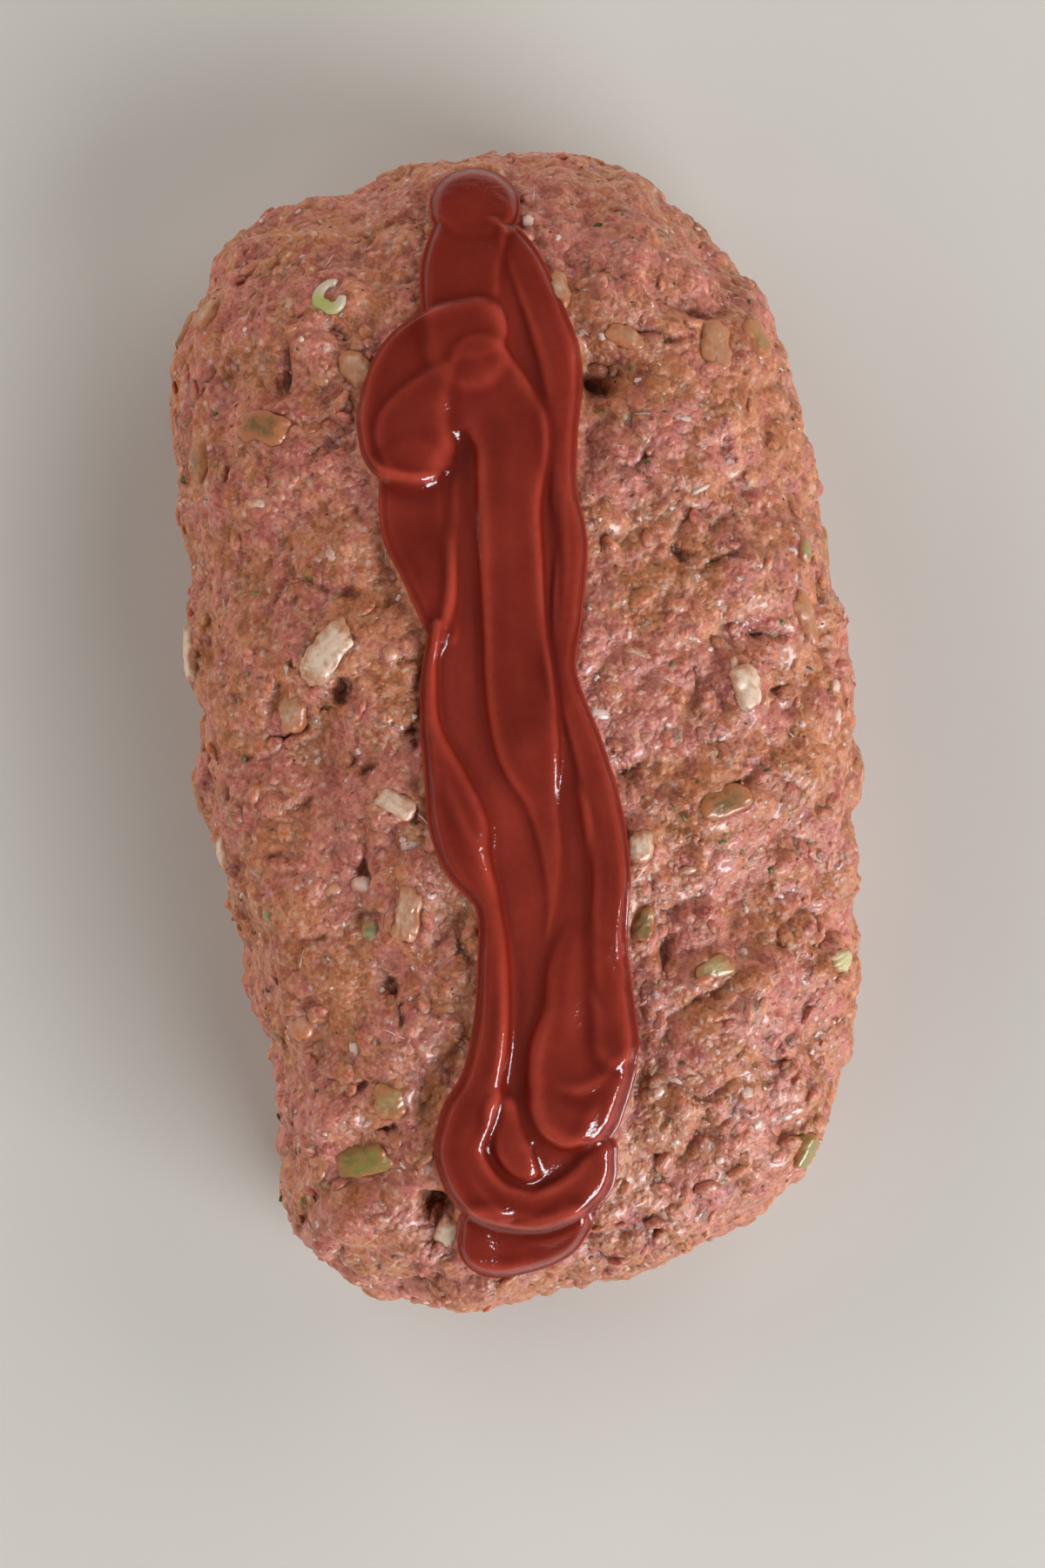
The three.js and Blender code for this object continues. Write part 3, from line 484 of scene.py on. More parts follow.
def node_frame(node):
    """Centre, axes (length, width, outward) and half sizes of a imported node. The axes are the
    principal directions of its corners; the third is turned away from the loaf's heart."""
    corners = node_corners(node)
    mean = corners.mean(axis=0)
    axes = np.linalg.svd(corners - mean)[2]
    heart = np.array([0, np.clip(mean[1], -SPINE_HALF, SPINE_HALF), WIDEST])
    if axes[2] @ (mean - heart) < 0:
        axes[2] = -axes[2]
    axes[1] = np.cross(axes[2], axes[0])
    local = (corners - mean) @ axes.T
    middle = (local.max(axis=0) + local.min(axis=0)) / 2
    return mean + middle @ axes, axes, np.ptp(local, axis=0) / 2


RING_NODE = "spring_onion_ring"
VEGETABLE_NODES = sorted(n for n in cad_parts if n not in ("loaf", "sauce"))
VEGETABLE_FRAMES = {node: node_frame(node) for node in VEGETABLE_NODES}


# ---- the sauce's outline, shared by the sauce and by what keeps clear of it ----
SPOT_STEP = 0.35
COVER_ROWS = 900


def strand_spots(strand):
    """The round spots that a strand is laid in: a Catmull-Rom curve through its points, carrying
    x, y, half width and height together, and sampled about every SPOT_STEP."""
    knots = np.array(strand, float)
    knots = np.concatenate([2 * knots[:1] - knots[1:2], knots, 2 * knots[-1:] - knots[-2:-1]])
    length = np.linalg.norm(np.diff(knots[1:-1, :2], axis=0), axis=1).sum()
    t = np.linspace(0, len(strand) - 1, max(int(length / SPOT_STEP), 2))
    k = np.minimum(t.astype(int), len(strand) - 2)
    f = (t - k)[:, None]
    return through(*(knots[k + n] for n in range(4)), f)


SPOTS = {name: strand_spots(strand) for name, strand in STRANDS.items()}
ALL_SPOTS = np.concatenate(list(SPOTS.values()))


def sauce_rows(y):
    """The sauce's leftmost and rightmost x in the rows at y: the ends of the widest cut through
    any spot's circle."""
    square = ALL_SPOTS[:, 2] ** 2 - (y[:, None] - ALL_SPOTS[:, 1]) ** 2
    half = np.sqrt(np.clip(square, 0, None))
    left = np.where(square > 0, ALL_SPOTS[:, 0] - half, np.inf).min(axis=1)
    right = np.where(square > 0, ALL_SPOTS[:, 0] + half, -np.inf).max(axis=1)
    return left, right


def sauce_cover(points):
    """How far inside the sauce's outline plan points are, in millimetres; negative outside."""
    y = np.linspace(points[:, 1].min(), points[:, 1].max(), COVER_ROWS)
    left, right = sauce_rows(y)
    left = np.where(np.isfinite(left), left, NO_SAUCE)
    right = np.where(np.isfinite(right), right, -NO_SAUCE)
    inside = np.minimum(
        points[:, 0] - np.interp(points[:, 1], y, left),
        np.interp(points[:, 1], y, right) - points[:, 0],
    )
    return np.where(points[:, 2] > WIDEST, inside, -NO_SAUCE)


# ---- the mince ----
# The soft noise under the mince's clods: height, size and seed.
SWELLS = [(1.2, 23, 1), (1.2, 11, 5), (0.35, 3.4, 6)]
# The clods, nubs and grains that the mince falls into: size, seed, height of the dome over each,
# and how much they differ in height.
GRAIN = 2.4
LUMPINESS = [(12, 2, 1.3, 0.9), (5, 3, 0.8, 0.6), (GRAIN, 4, 0.45, 0.4)]
# Crevices are cut only above this height.
CREVICES_ABOVE = WIDEST + 8


def dome(distance):
    """A round cap over a cell: half a step high at its middle, and below zero past 0.6 of a cell."""
    return 0.5 - 1.4 * distance**2


def crevice_depth(points):
    """Depth of the crevices: along one it fades as 1 - along^2 to the power 0.6, and across it as
    a bell curve whose steeper wall is half as wide as the other. Noise makes the line wander."""
    depth = np.zeros(len(points))
    wander = 0.9 * clouds(points, 4.5, 71) + 0.4 * clouds(points, 1.8, 72)
    for x, y, turn, length, width, deep in CREVICES:
        cosine, sine = np.cos(np.radians(turn)), np.sin(np.radians(turn))
        east, north = points[:, 0] - x, points[:, 1] - y
        along = (east * cosine + north * sine) / (0.7 * length)
        across = (north * cosine - east * sine + wander) / (0.5 * width)
        across = across * np.where(across > 0, 1.4, 0.7)
        fade = np.clip(1 - along**2, 0, 1) ** 0.6
        depth = np.maximum(depth, deep * fade * np.exp(-(across**2)))
    return depth * (points[:, 2] > CREVICES_ABOVE)


def mound_relief(points):
    """Height and pinkness of the mounds: each is half a ball flattened to its height, and its
    outline wanders by noise."""
    height, blush = np.zeros((2, len(points)))
    wander = 0.35 * clouds(points, 4, 75)
    for x, y, radius, tall, pink in MOUNDS:
        off = np.hypot(points[:, 0] - x, points[:, 1] - y) / radius + wander
        height = np.maximum(height, tall * np.sqrt(np.clip(1 - off**2, 0, 1)))
        blush = np.maximum(blush, pink * (1 - eased(off, 0.75, 1.15)))
    upper = points[:, 2] > WIDEST
    return height * upper, blush * upper


def meat_relief(points):
    """Height of the mince's relief over the smooth form, how hollow each place is, as the share of
    painted shade that the finish lays in its cracks, seams and crevices, and how pink it is. Clods,
    nubs and grains are cell noise, domed over each cell's middle and each raised by its own number,
    on three sizes of soft noise. Clods part in cracks and nubs in shallow seams along some of their
    borders, the mounds are laid on and the crevices are cut in."""
    warped = points + 1.5 * np.stack([clouds(points, 6.5, seed) for seed in (11, 21, 31)], axis=1)
    rise = sum(height * clouds(points, size, seed) for height, size, seed in SWELLS)
    gaps = []
    for size, seed, tall, differing in LUMPINESS:
        nearest, second, own = cells(warped, size, seed)
        rise += tall * dome(nearest) + differing * (own - 0.5)
        gaps.append(second - nearest)
    crack = (1 - eased(gaps[0], 0.02, 0.2)) * eased(clouds(points, 19, 7), 0.0, 0.45)
    seam = (1 - eased(gaps[1], 0.02, 0.22)) * eased(clouds(points, 12, 8), -0.1, 0.4)
    cleft = crevice_depth(points)
    mound, blush = mound_relief(points)
    rise += mound - 1.0 * crack - 0.35 * seam - cleft - 0.75
    # How hollow a place is: the share of painted shade that the finish lays in cracks, seams and crevices.
    hollow = np.clip(0.6 * crack + 0.2 * seam + eased(cleft, 0.4, 2.0), 0, 1)
    return rise, hollow, blush


# How deep the mince lies under a piece's surface, and under the top of the open ring.
BED_DEPTH, RING_DEPTH = 0.4, 0.7
# The bank round a piece: its level as a share of the way from the piece's middle to its top, for
# blocks and for the ring, and how far it may lower or raise the mince.
BLOCK_BANK, RING_BANK = 0.55, 0.85
BANK_DOWN, BANK_UP = -2.0, 1.6
# How far a bed may move the mince in all, and how much noise makes a piece's outline wander.
BED_DOWN, BED_UP = -6, 3.5
BLOCK_WANDER, RING_WANDER = 0.3, 0.08


def around_vegetables(points, normals, rise, hollow):
    """Beds each vegetable piece in the mince. off is 1 on the piece's outline, a superellipse that
    noise makes wander. Within it the mince lies under the piece's own surface, or for the ring at
    one level, and past it the mince leans to the bank's level and fades back to its own."""
    for number, (node, (centre, axes, half)) in enumerate(VEGETABLE_FRAMES.items()):
        close = np.flatnonzero(np.linalg.norm(points - centre, axis=1) < half[0] * 2 + 5)
        local = (points[close] - centre) @ axes.T
        wander = clouds(points[close], 2.8, 60 + number) + 0.4 * clouds(points[close], 1.3, 90 + number)
        is_ring = node == RING_NODE
        power = 2 if is_ring else BLOCK_POWER
        off = (np.abs(local[:, :2] / half[:2]) ** power).sum(axis=1) ** (1 / power)
        off = off + (RING_WANDER if is_ring else BLOCK_WANDER) * wander
        facing = np.maximum(normals[close] @ axes[2], 0.4)
        upward = eased(normals[close] @ axes[2], 0.3, 0.7)
        height = local[:, 2] + rise[close] * facing
        bank = (1 - eased(off, 1.05, 2.1)) * (1 if is_ring else eased(off, 0.7, 0.95))
        level = half[2] * (RING_BANK if is_ring else BLOCK_BANK) + 0.5 * wander
        raised = height + bank * np.clip(level - height, BANK_DOWN, BANK_UP)
        surface = half[2] * np.clip(1 - np.clip(off, 0, 1) ** power, 0, 1) ** (1 / power)
        lid = half[2] - RING_DEPTH if is_ring else surface - BED_DEPTH
        pressed = np.minimum(raised, lid + (raised - lid) * eased(off, 0.84, 0.98))
        change = (pressed - height) / facing
        rise[close] += upward * np.clip(change, BED_DOWN, BED_UP)
        # Near a piece's outline the painted shade of the cracks fades out.
        hollow[close] = np.clip(hollow[close] * eased(off, 0.8, 1.4), 0, 1)
    return rise, hollow


# The least height of anything that isn't part of the flat foot.
FLOOR_GAP = 0.1
LOAF_CELLS = (232, 372)
# The flat foot's rings, as shares of its border.
BASE_RINGS = (0.985, 0.9, 0.6, 0.3)
_kept = {}


def loaf_surface():
    """The mince's finished surface: the smooth form pushed out along its normals by the relief,
    and lowered under the sauce. Gives its points, outward directions, hollowness (the share of
    painted shade in its cracks), depth inside the sauce's outline and pinkness. Kept, because
    several pieces are laid on it."""
    if "loaf" not in _kept:
        across, along = LOAF_CELLS
        w, ring = wrapped_net(across, along)
        smooth, normals = loaf_points(w, even_swing(ring))
        rise, hollow, blush = meat_relief(smooth)
        rise, hollow = around_vegetables(smooth, normals, rise, hollow)
        cover = sauce_cover(smooth)
        press = eased(cover, -1.6, 0.6)
        rise = rise * (1 - press) - press * (0.3 + 0.8 * eased(cover, 0.5, 3))
        points = smooth + normals * rise[:, None]
        points[:, 2] = np.where(ring >= 1, 0, np.maximum(points[:, 2], FLOOR_GAP))
        grid = points.reshape(across + 1, along + 1, 3)
        outward = np.cross(np.gradient(grid, axis=0), np.gradient(grid, axis=1)).reshape(-1, 3)
        length = np.linalg.norm(outward, axis=1, keepdims=True)
        outward = np.where(length > TINY, outward / np.maximum(length, TINY), normals)
        _kept["loaf"] = points, outward, hollow, cover, blush
    return _kept["loaf"]


def loaf_rim():
    """The net's border points, anticlockwise from above."""
    across, along = LOAF_CELLS
    at = np.arange((across + 1) * (along + 1)).reshape(across + 1, along + 1)
    return np.concatenate([at[:-1, 0], at[-1, :-1], at[:0:-1, -1], at[0, :0:-1]])


def make_loaf(material):
    """The loaf: the wrapped net, closed by flat rings that shrink to the middle of the base."""
    points, _, hollow, _, blush = loaf_surface()
    rim = loaf_rim()
    count = len(rim)
    rings = [points[rim] * [scale, scale, 0] for scale in BASE_RINGS]
    start = len(points)
    everything = np.concatenate([points, *rings, [[0, 0, 0]]])
    loops = [rim] + [start + k * count + np.arange(count) for k in range(len(BASE_RINGS))]
    bands = [
        np.stack([np.roll(outer, -1), outer, inner, np.roll(inner, -1)], axis=1)
        for outer, inner in zip(loops[:-1], loops[1:])
    ]
    middle = len(everything) - 1
    fan = np.stack([np.roll(loops[-1], -1), loops[-1], np.full(count, middle)], axis=1)
    across, along = LOAF_CELLS
    faces = [net_faces(across + 1, along + 1), *bands, fan]
    flat = np.zeros(len(everything) - start)
    # hollow is the share of painted shade in the cracks; blush is the mounds' pinkness.
    attributes = {"hollow": np.concatenate([hollow, flat]), "blush": np.concatenate([blush, flat])}
    return new_piece("mince_loaf", everything, faces, material, "mince", attributes, ["loaf"])


# ---- things scattered on the mince ----
# More places are drawn than are wanted, because some are left out: those nearer than this to the
# sauce or the floor, and those within these shares of a vegetable piece's half sizes.
SPARE = 1.6
SAUCE_CLEARANCE, LOWEST = 0.4, 1.5
PIECE_CLEARANCE = np.array([0.9, 0.9, 2.5])


def spots_on_loaf(count, rng):
    """Random places on the finished mince with their outward directions, even by area: faces are
    drawn by their area and a point is taken in each."""
    points, outward, _, cover, _ = loaf_surface()
    faces = net_faces(LOAF_CELLS[0] + 1, LOAF_CELLS[1] + 1)
    a, b, d = (points[faces[:, k]] for k in (0, 1, 3))
    area = np.linalg.norm(np.cross(b - a, d - a), axis=1)
    chosen = rng.choice(len(faces), int(count * SPARE), p=area / area.sum())
    u, v = rng.random((2, len(chosen), 1))
    corner = faces[chosen]
    place = points[corner[:, 0]]
    place = place + u * (points[corner[:, 1]] - place) + v * (points[corner[:, 3]] - place)
    fine = (cover[corner[:, 0]] < -SAUCE_CLEARANCE) & (place[:, 2] > LOWEST)
    for centre, axes, half in VEGETABLE_FRAMES.values():
        fine &= ~(np.abs((place - centre) @ axes.T) / half < PIECE_CLEARANCE).all(axis=1)
    keep = np.flatnonzero(fine)[:count]
    return place[keep], outward[corner[keep, 0]]


def turned_frames(outward, rng, tilt):
    """Random frames whose third axis is the outward direction, tipped by a spread of tilt."""
    third = outward + rng.normal(0, tilt, outward.shape)
    third /= np.linalg.norm(third, axis=1, keepdims=True)
    return squared_frames(rng.normal(size=outward.shape), third)


def scattered_piece(name, shape, places, frames, sizes, material, slot, tint, wobble, seed):
    """One mesh of many copies of a small shape: each is made a little uneven by wobble, scaled by
    its three half sizes, turned into its frame, moved to its place and kept above the floor. tint
    is a number for each copy."""
    points, faces = shape
    uneven = np.random.default_rng(seed).normal(0, wobble, (len(places), len(points), 3))
    unit = points[None] * (1 + uneven)
    local = unit * sizes[:, None, :]
    world = np.einsum("nkc,ncd->nkd", local, frames) + places[:, None, :]
    world[..., 2] = np.maximum(world[..., 2], FLOOR_GAP)
    every = (faces[None] + len(points) * np.arange(len(places))[:, None, None]).reshape(-1, faces.shape[1])
    return new_piece(name, world.reshape(-1, 3), every, material, slot, {
        "tint": np.repeat(tint, len(points)),
        "along": local[..., 0].ravel(), "across": local[..., 1].ravel(),
        "rim": np.abs(unit[..., :2]).max(axis=2).ravel(),
    })


def block_shape(rings, sides, power):
    """A unit ball's points pushed out to a rounded block: each direction is divided by the sum of
    its parts' powers, brought back by the same power."""
    points, faces = ball(rings, sides)
    return points / (np.abs(points) ** power).sum(axis=1, keepdims=True) ** (1 / power), faces


# The small bits: how far they are sunk, as a share of their half thickness, and their most turn.
BIT_SUNK, BIT_TURN = 0.72, 25
# The least slope of the mince that a bit is laid on: the upward part of its outward direction.
BIT_SLOPE = 0.15


def scatter_bits(name, rows, material, slot, rng):
    """The small bits at their given places: rounded blocks laid on the nearest part of the mince's
    upper surface, each turned a little. A bit's thickness is half its smaller side and 0.5 mm."""
    table = np.array(rows)
    points, outward, *_ = loaf_surface()
    upper = np.flatnonzero((outward[:, 2] > BIT_SLOPE) & (points[:, 2] > WIDEST))
    nearest = np.array([
        upper[np.argmin(np.hypot(*(points[upper, :2] - row[:2]).T))] for row in table
    ])
    third = outward[nearest]
    lean = np.tan(np.radians(rng.uniform(-BIT_TURN, BIT_TURN, len(table))))
    frames = squared_frames(np.column_stack([np.ones_like(lean), lean, np.zeros_like(lean)]), third)
    sizes = np.column_stack([table[:, 2], table[:, 3], 0.5 * table[:, 2:4].min(axis=1) + 0.5]) / 2
    places = points[nearest] - third * sizes[:, 2:] * BIT_SUNK
    return scattered_piece(
        name, block_shape(5, 8, 3.0), places, frames, sizes, material, slot, table[:, 4], 0.07, 5,
    )


# ---- the sauce ----
# The least depth of sauce, and how far a crease may go below the height round it.
FILM, CREASE = 1.3, 0.45
# The rounded border: how high it may rise within how far of the outline.
RIM_HEIGHT, RIM_WIDTH = 3.4, 1.5
# Rows, and points in a row's top, in each rounded edge of its underside and between those.
SAUCE_ROWS, SAUCE_TOP, SAUCE_EDGE, SAUCE_FLOOR = 640, 132, 4, 5
# How deep the underside lies below the mince's smooth form, and how far in its edges are rounded.
SAUCE_ROOT, RIM_ROUND = 1.6, 0.7
# Gap between the outermost rows and the outline's ends, and the share of the length at each end
# over which the rows draw together.
END_GAP, END_SHARE = 0.02, 0.02
# Rounds of softening that show where the valleys are, smooth the layers, and show the ridges
# that the finish paints with a highlight.
VALLEY_ROUNDS, LAYER_ROUNDS, RIDGE_ROUNDS = 30, 4, 24
# The least depth of sauce once the furrows are in it.
FURROW_FILM = 0.5
# As many of a strand's spots as are compared at once.
SPOTS_AT_ONCE = 60


def nearest_spot(spots, x, y, measure):
    """For plan points near a strand: which points they are, the best value of a measure of
    distance and half width over the strand's spots, and that spot's half width and height."""
    reach = 1.1 * spots[:, 2].max()
    low, high = spots[:, :2].min(axis=0) - reach * 2, spots[:, :2].max(axis=0) + reach * 2
    near = np.flatnonzero((x > low[0]) & (x < high[0]) & (y > low[1]) & (y < high[1]))
    value, spot = np.full(len(near), -np.inf), np.zeros((len(near), 4))
    for block in np.array_split(spots, 1 + len(spots) // SPOTS_AT_ONCE):
        distance = np.hypot(x[near, None] - block[:, 0], y[near, None] - block[:, 1])
        measured = measure(distance, block[:, 2])
        best = measured.argmax(axis=1)
        top = measured[np.arange(len(near)), best]
        spot = np.where((top > value)[:, None], block[best], spot)
        value = np.maximum(value, top)
    return near, value, spot[:, 2], spot[:, 3]


def sauce_height(x, y):
    """The sauce's height over the loaf at plan points. A layer is a ribbon, about an eighth lower
    at its edge than in its middle, whose edge is part quarter round and part smooth step of the
    distance from its outline, with a low raised rim just inside it. It is added to its own share
    of the height below it, and never lowers what it lies on."""
    height = np.zeros(len(x))
    for sink, edge, rim, names in LAYERS:
        layer = np.zeros(len(x))
        for name in names:
            near, inside, half, tall = nearest_spot(SPOTS[name], x, y, lambda d, r: r - d)
            share = np.clip(inside / np.clip(0.95 * half, 0.1, edge), 0, 1)
            side = 0.45 * np.sqrt(1 - (1 - share) ** 2) + 0.55 * eased(share, 0, 1)
            crown = 0.88 + 0.12 * np.clip(inside / half, 0, 1)
            bead = rim * np.exp(-(((inside - 0.55 * edge) / (0.25 * edge)) ** 2))
            layer[near] = np.maximum(layer[near], (tall * crown + bead) * side)
        height = np.maximum(height, (layer > 0) * (sink * height + layer))
    return height


def sauce_lines(x, y):
    """The fine folds and furrows at plan points: each is its height times exp(-off^2), where off
    is the distance from its line in half widths."""
    height = np.zeros(len(x))
    for line in LINES.values():
        near, off, _, tall = nearest_spot(strand_spots(line), x, y, lambda d, r: -d / r)
        height[near] += tall * np.exp(-(off**2))
    return height


def softened(grid, times):
    """A grid of numbers with each averaged with its neighbours by quarters, both ways."""
    for _ in range(times):
        for axis in (0, 1):
            pad = np.pad(grid, [(1, 1) if k == axis else (0, 0) for k in (0, 1)], mode="edge")
            fore, aft = (np.take(pad, range(k, k + grid.shape[axis]), axis=axis) for k in (0, 2))
            grid = (fore + 2 * grid + aft) / 4
    return grid


def make_sauce(material):
    """The sauce: rows across it from the far end to the near one, closer together at both. A row's
    top runs from rim to rim, closest together at the rims, at the loaf's height plus the strands',
    which is softened and then gets the fine lines. Its underside is rounded at both rims and
    crosses below the mince's surface."""
    low = (ALL_SPOTS[:, 1] - ALL_SPOTS[:, 2]).min()
    high = (ALL_SPOTS[:, 1] + ALL_SPOTS[:, 2]).max()
    share = np.linspace(0, 1, SAUCE_ROWS)
    pace = np.cumsum(np.minimum(1, 0.08 + np.minimum(share, 1 - share) / END_SHARE))
    y = high - END_GAP - (high - low - 2 * END_GAP) * (pace - pace[0]) / (pace[-1] - pace[0])
    left, right = sauce_rows(y)
    u = np.linspace(0, 1, SAUCE_TOP)
    spread = 0.6 * u + 0.4 * (1 - np.cos(np.pi * u)) / 2
    x = left[:, None] + (right - left)[:, None] * spread
    deep = np.broadcast_to(y[:, None], x.shape)
    inside = np.minimum(x - left[:, None], right[:, None] - x)
    rim = RIM_HEIGHT * np.sqrt(1 - (1 - np.clip(inside / RIM_WIDTH, 0, 1)) ** 2)
    rim = np.where(inside < RIM_WIDTH, rim, np.inf)
    height = np.maximum(sauce_height(x.ravel(), deep.ravel()).reshape(x.shape), FILM)
    height = np.maximum(height, softened(height, VALLEY_ROUNDS) - CREASE)
    height = softened(height, LAYER_ROUNDS) + sauce_lines(x.ravel(), deep.ravel()).reshape(x.shape)
    height = softened(np.minimum(np.maximum(height, FURROW_FILM), rim), 1)
    # ridge: how far a place stands over the softened height round it; the finish paints a highlight on the
    # crests by it.
    ridge = np.clip(height - softened(height, RIDGE_ROUNDS), -1, 1)
    base = loaf_top(x.ravel(), deep.ravel()).reshape(x.shape)
    swing = np.linspace(0, np.pi / 2, SAUCE_EDGE + 1)[1:]
    round_in, round_down = RIM_ROUND * (1 - np.cos(swing)), SAUCE_ROOT * np.sin(swing)
    width = np.maximum(right - left, 1e-3)[:, None]
    inset = np.minimum(round_in, 0.35 * width)
    cross = np.linspace(1, 0, SAUCE_FLOOR + 2)[1:-1]
    span = width - 2 * inset[:, -1:]
    under_x = np.concatenate([
        right[:, None] - inset,
        left[:, None] + inset[:, -1:] + span * cross,
        left[:, None] + inset[:, ::-1],
    ], axis=1)
    drop = np.concatenate([round_down, np.full(SAUCE_FLOOR, SAUCE_ROOT), round_down[::-1]])
    under_y = np.broadcast_to(y[:, None], under_x.shape)
    under_z = loaf_top(under_x.ravel(), under_y.ravel()).reshape(under_x.shape) - drop
    points = np.stack([
        np.concatenate([x, under_x], axis=1),
        np.concatenate([deep, under_y], axis=1),
        np.concatenate([base + height, under_z], axis=1),
    ], axis=2)
    rows, columns = points.shape[:2]
    ends = points[[0, -1]].mean(axis=1)
    under = ((0, 0), (0, columns - SAUCE_TOP))
    return new_piece(
        "tomato_sauce", np.concatenate([points.reshape(-1, 3), ends]),
        [net_faces(rows, columns, wrap=True), end_fans(rows, columns)], material, "tomato_sauce",
        {
            # ridge carries the painted highlight on crests and folded edges.
            "ridge": np.append(np.pad(ridge, under), [0, 0]),
            "thick": np.append(np.pad(height, under), [0, 0]),
        },
        ["sauce"],
    )


# ---- the vegetable pieces ----
PIECE_CELLS = (34, 72)
# How deep the ribs along a piece are, in millimetres, where they show, and where they hardly do.
FAINT_RIBS = 0.03
RIBS = {"celery_right_edge": 0.2, "onion_striped": 0.12, "onion_wedge": 0.08}
# How pale each piece is, from 0 to 1, where it isn't as the others.
USUAL_PALENESS = 0.35
PALENESS = {
    "onion_right_dice": 0.95, "onion_wedge": 0.75, "onion_left_edge": 0.8, "onion_left_sliver": 0.7,
    "onion_near_hollow": 0.9, "onion_mid_left": 0.7, "onion_mid_right": 0.6, "onion_striped": 0.45,
    "onion_far_translucent": 0.3, "onion_far_left": 0.25, "onion_right_sliver": 0.2,
    "onion_fold": 0.3, "onion_far_chip": 0.2, "onion_beside_sauce": 0.4,
    "celery_right_edge": 1.0, "celery_right_diagonal": 0.6, "celery_far_right": 0.0,
    "pepper_near_left": 0.7, "pepper_near_right": 0.9, "pepper_right_chip": 0.4,
    "pepper_left_flank": 0.0, "pepper_far_left": 0.1, "pepper_mid_right": 0.1,
}


# How far a piece is bowed, as a share of its half thickness, how worn it is in millimetres, how much
# it leans out of square, and how far out it may stand, as a share of its packed half sizes.
BOW, WEAR, LEAN, PROUD = 0.25, 0.4, 0.16, 1.04


def make_vegetable(node, slot, material, tint, ribs, seed):
    """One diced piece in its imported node's place: a ball's directions scaled to a rounded block
    of power BLOCK_POWER, leaning a little out of square, bowed along its width, with ribs along
    its length, and worn uneven."""
    centre, axes, half = VEGETABLE_FRAMES[node]
    rings, sides = PIECE_CELLS
    lat = np.linspace(0, np.pi, rings + 1)[:, None]
    lon = np.linspace(0, 2 * np.pi, sides, endpoint=False)[None, :]
    way = np.stack(np.broadcast_arrays(np.sin(lat) * np.cos(lon), np.sin(lat) * np.sin(lon), np.cos(lat)), 2)
    way = way.reshape(-1, 3)
    scale = (np.abs(way) ** BLOCK_POWER).sum(axis=1) ** (-1 / BLOCK_POWER)
    unit = way * scale[:, None]
    local = unit * half
    rng = np.random.default_rng(seed)
    shear = rng.uniform(-LEAN, LEAN, 3)
    local[:, 0] *= 1 + shear[0] * unit[:, 1] - 0.12 * (shear[1] + LEAN) * unit[:, 1] ** 2
    local[:, 1] *= 1 + shear[2] * unit[:, 0]
    rise = BOW * half[2] * (0.5 - unit[:, 1] ** 2)
    rise += ribs * np.sin(local[:, 1] * 5.2 + 0.9 * np.sin(local[:, 0] * 0.7 + seed)) * unit[:, 2]
    local[:, 2] += rise
    wobble = clouds(local + 50 * seed, 3.2, seed) + 0.5 * clouds(local + 50 * seed, 1.3, seed + 5)
    local *= (1 + WEAR * wobble / half.min())[:, None]
    points = centre + np.clip(local, -half * PROUD, half * PROUD) @ axes
    faces = net_faces(rings + 1, sides, wrap=True)
    return new_piece(
        node + "_piece", *merged_poles(points, faces, sides), material, slot,
        {
            "along": merged_values(local[:, 0], sides), "across": merged_values(local[:, 1], sides),
            "rim": merged_values(np.maximum(np.abs(unit[:, 0]), np.abs(unit[:, 1])), sides),
            "tint": np.full(len(points) - 2 * sides + 2, tint),
        },
        [node],
    )


def merged_values(values, sides):
    """Values on a grid whose first and last rows are poles, kept once for each pole."""
    return np.concatenate([values[:1], values[sides:-sides], values[-1:]])


def merged_poles(points, faces, sides):
    """A grid whose first and last rows are poles, with each of these rows made one point and the
    squares beside it triangles."""
    number = np.concatenate([
        np.zeros(sides), np.arange(1, len(points) - 2 * sides + 1),
        np.full(sides, len(points) - 2 * sides + 1),
    ]).astype(int)
    faces = number[faces]
    top, middle, bottom = faces[:sides], faces[sides:-sides], faces[-sides:]
    return merged_values(points, sides), [middle, top[:, [0, 1, 2]], bottom[:, [0, 1, 3]]]


# The open ring: points round its arc and round its wall, and where the arc starts, ends and is
# thickest, in degrees from the world's x.
RING_CELLS = (64, 24)
RING_START, RING_END, RING_THICKEST = 62, 350, 225


def make_ring(node, material):
    """The slice of spring onion: a rounded wall carried round an open arc, thickest at its near
    left, a little pressed in at three sides, and closed by fans at its ends. The wall's section is
    cosine and sine to the power 0.7, so it is squarer than an ellipse."""
    centre, axes, half = VEGETABLE_FRAMES[node]
    east = np.array([1.0, 0, 0]) - axes[2] * axes[2, 0]
    east /= np.linalg.norm(east)
    axes = np.stack([east, np.cross(axes[2], east), axes[2]])
    turns, sides = RING_CELLS
    outer = min(half[0], half[1])
    arc = np.radians(np.linspace(RING_START, RING_END, turns))[:, None]
    round_ = np.linspace(0, 2 * np.pi, sides, endpoint=False)[None, :]
    lean = 0.5 + 0.5 * np.cos(arc - np.radians(RING_THICKEST))
    thick = outer * (0.21 + 0.19 * lean)
    wall_out = np.sign(np.cos(round_)) * np.abs(np.cos(round_)) ** 0.7 * thick
    wall_up = np.sign(np.sin(round_)) * np.abs(np.sin(round_)) ** 0.7 * half[2]
    radius = outer - thick + wall_out - 0.04 * outer * (1 + np.cos(3 * arc))
    local = np.stack(np.broadcast_arrays(radius * np.cos(arc), radius * np.sin(arc), wall_up), axis=2)
    ends = local[[0, -1]].mean(axis=1)
    points = centre + np.concatenate([local.reshape(-1, 3), ends]) @ axes
    faces = [net_faces(turns, sides, wrap=True), end_fans(turns, sides)]
    green = np.concatenate([np.broadcast_to(lean, (turns, sides)).ravel(), lean[[0, -1], 0]])
    return new_piece(node + "_piece", points, faces, material, "spring_onion", {"green": green}, [node])


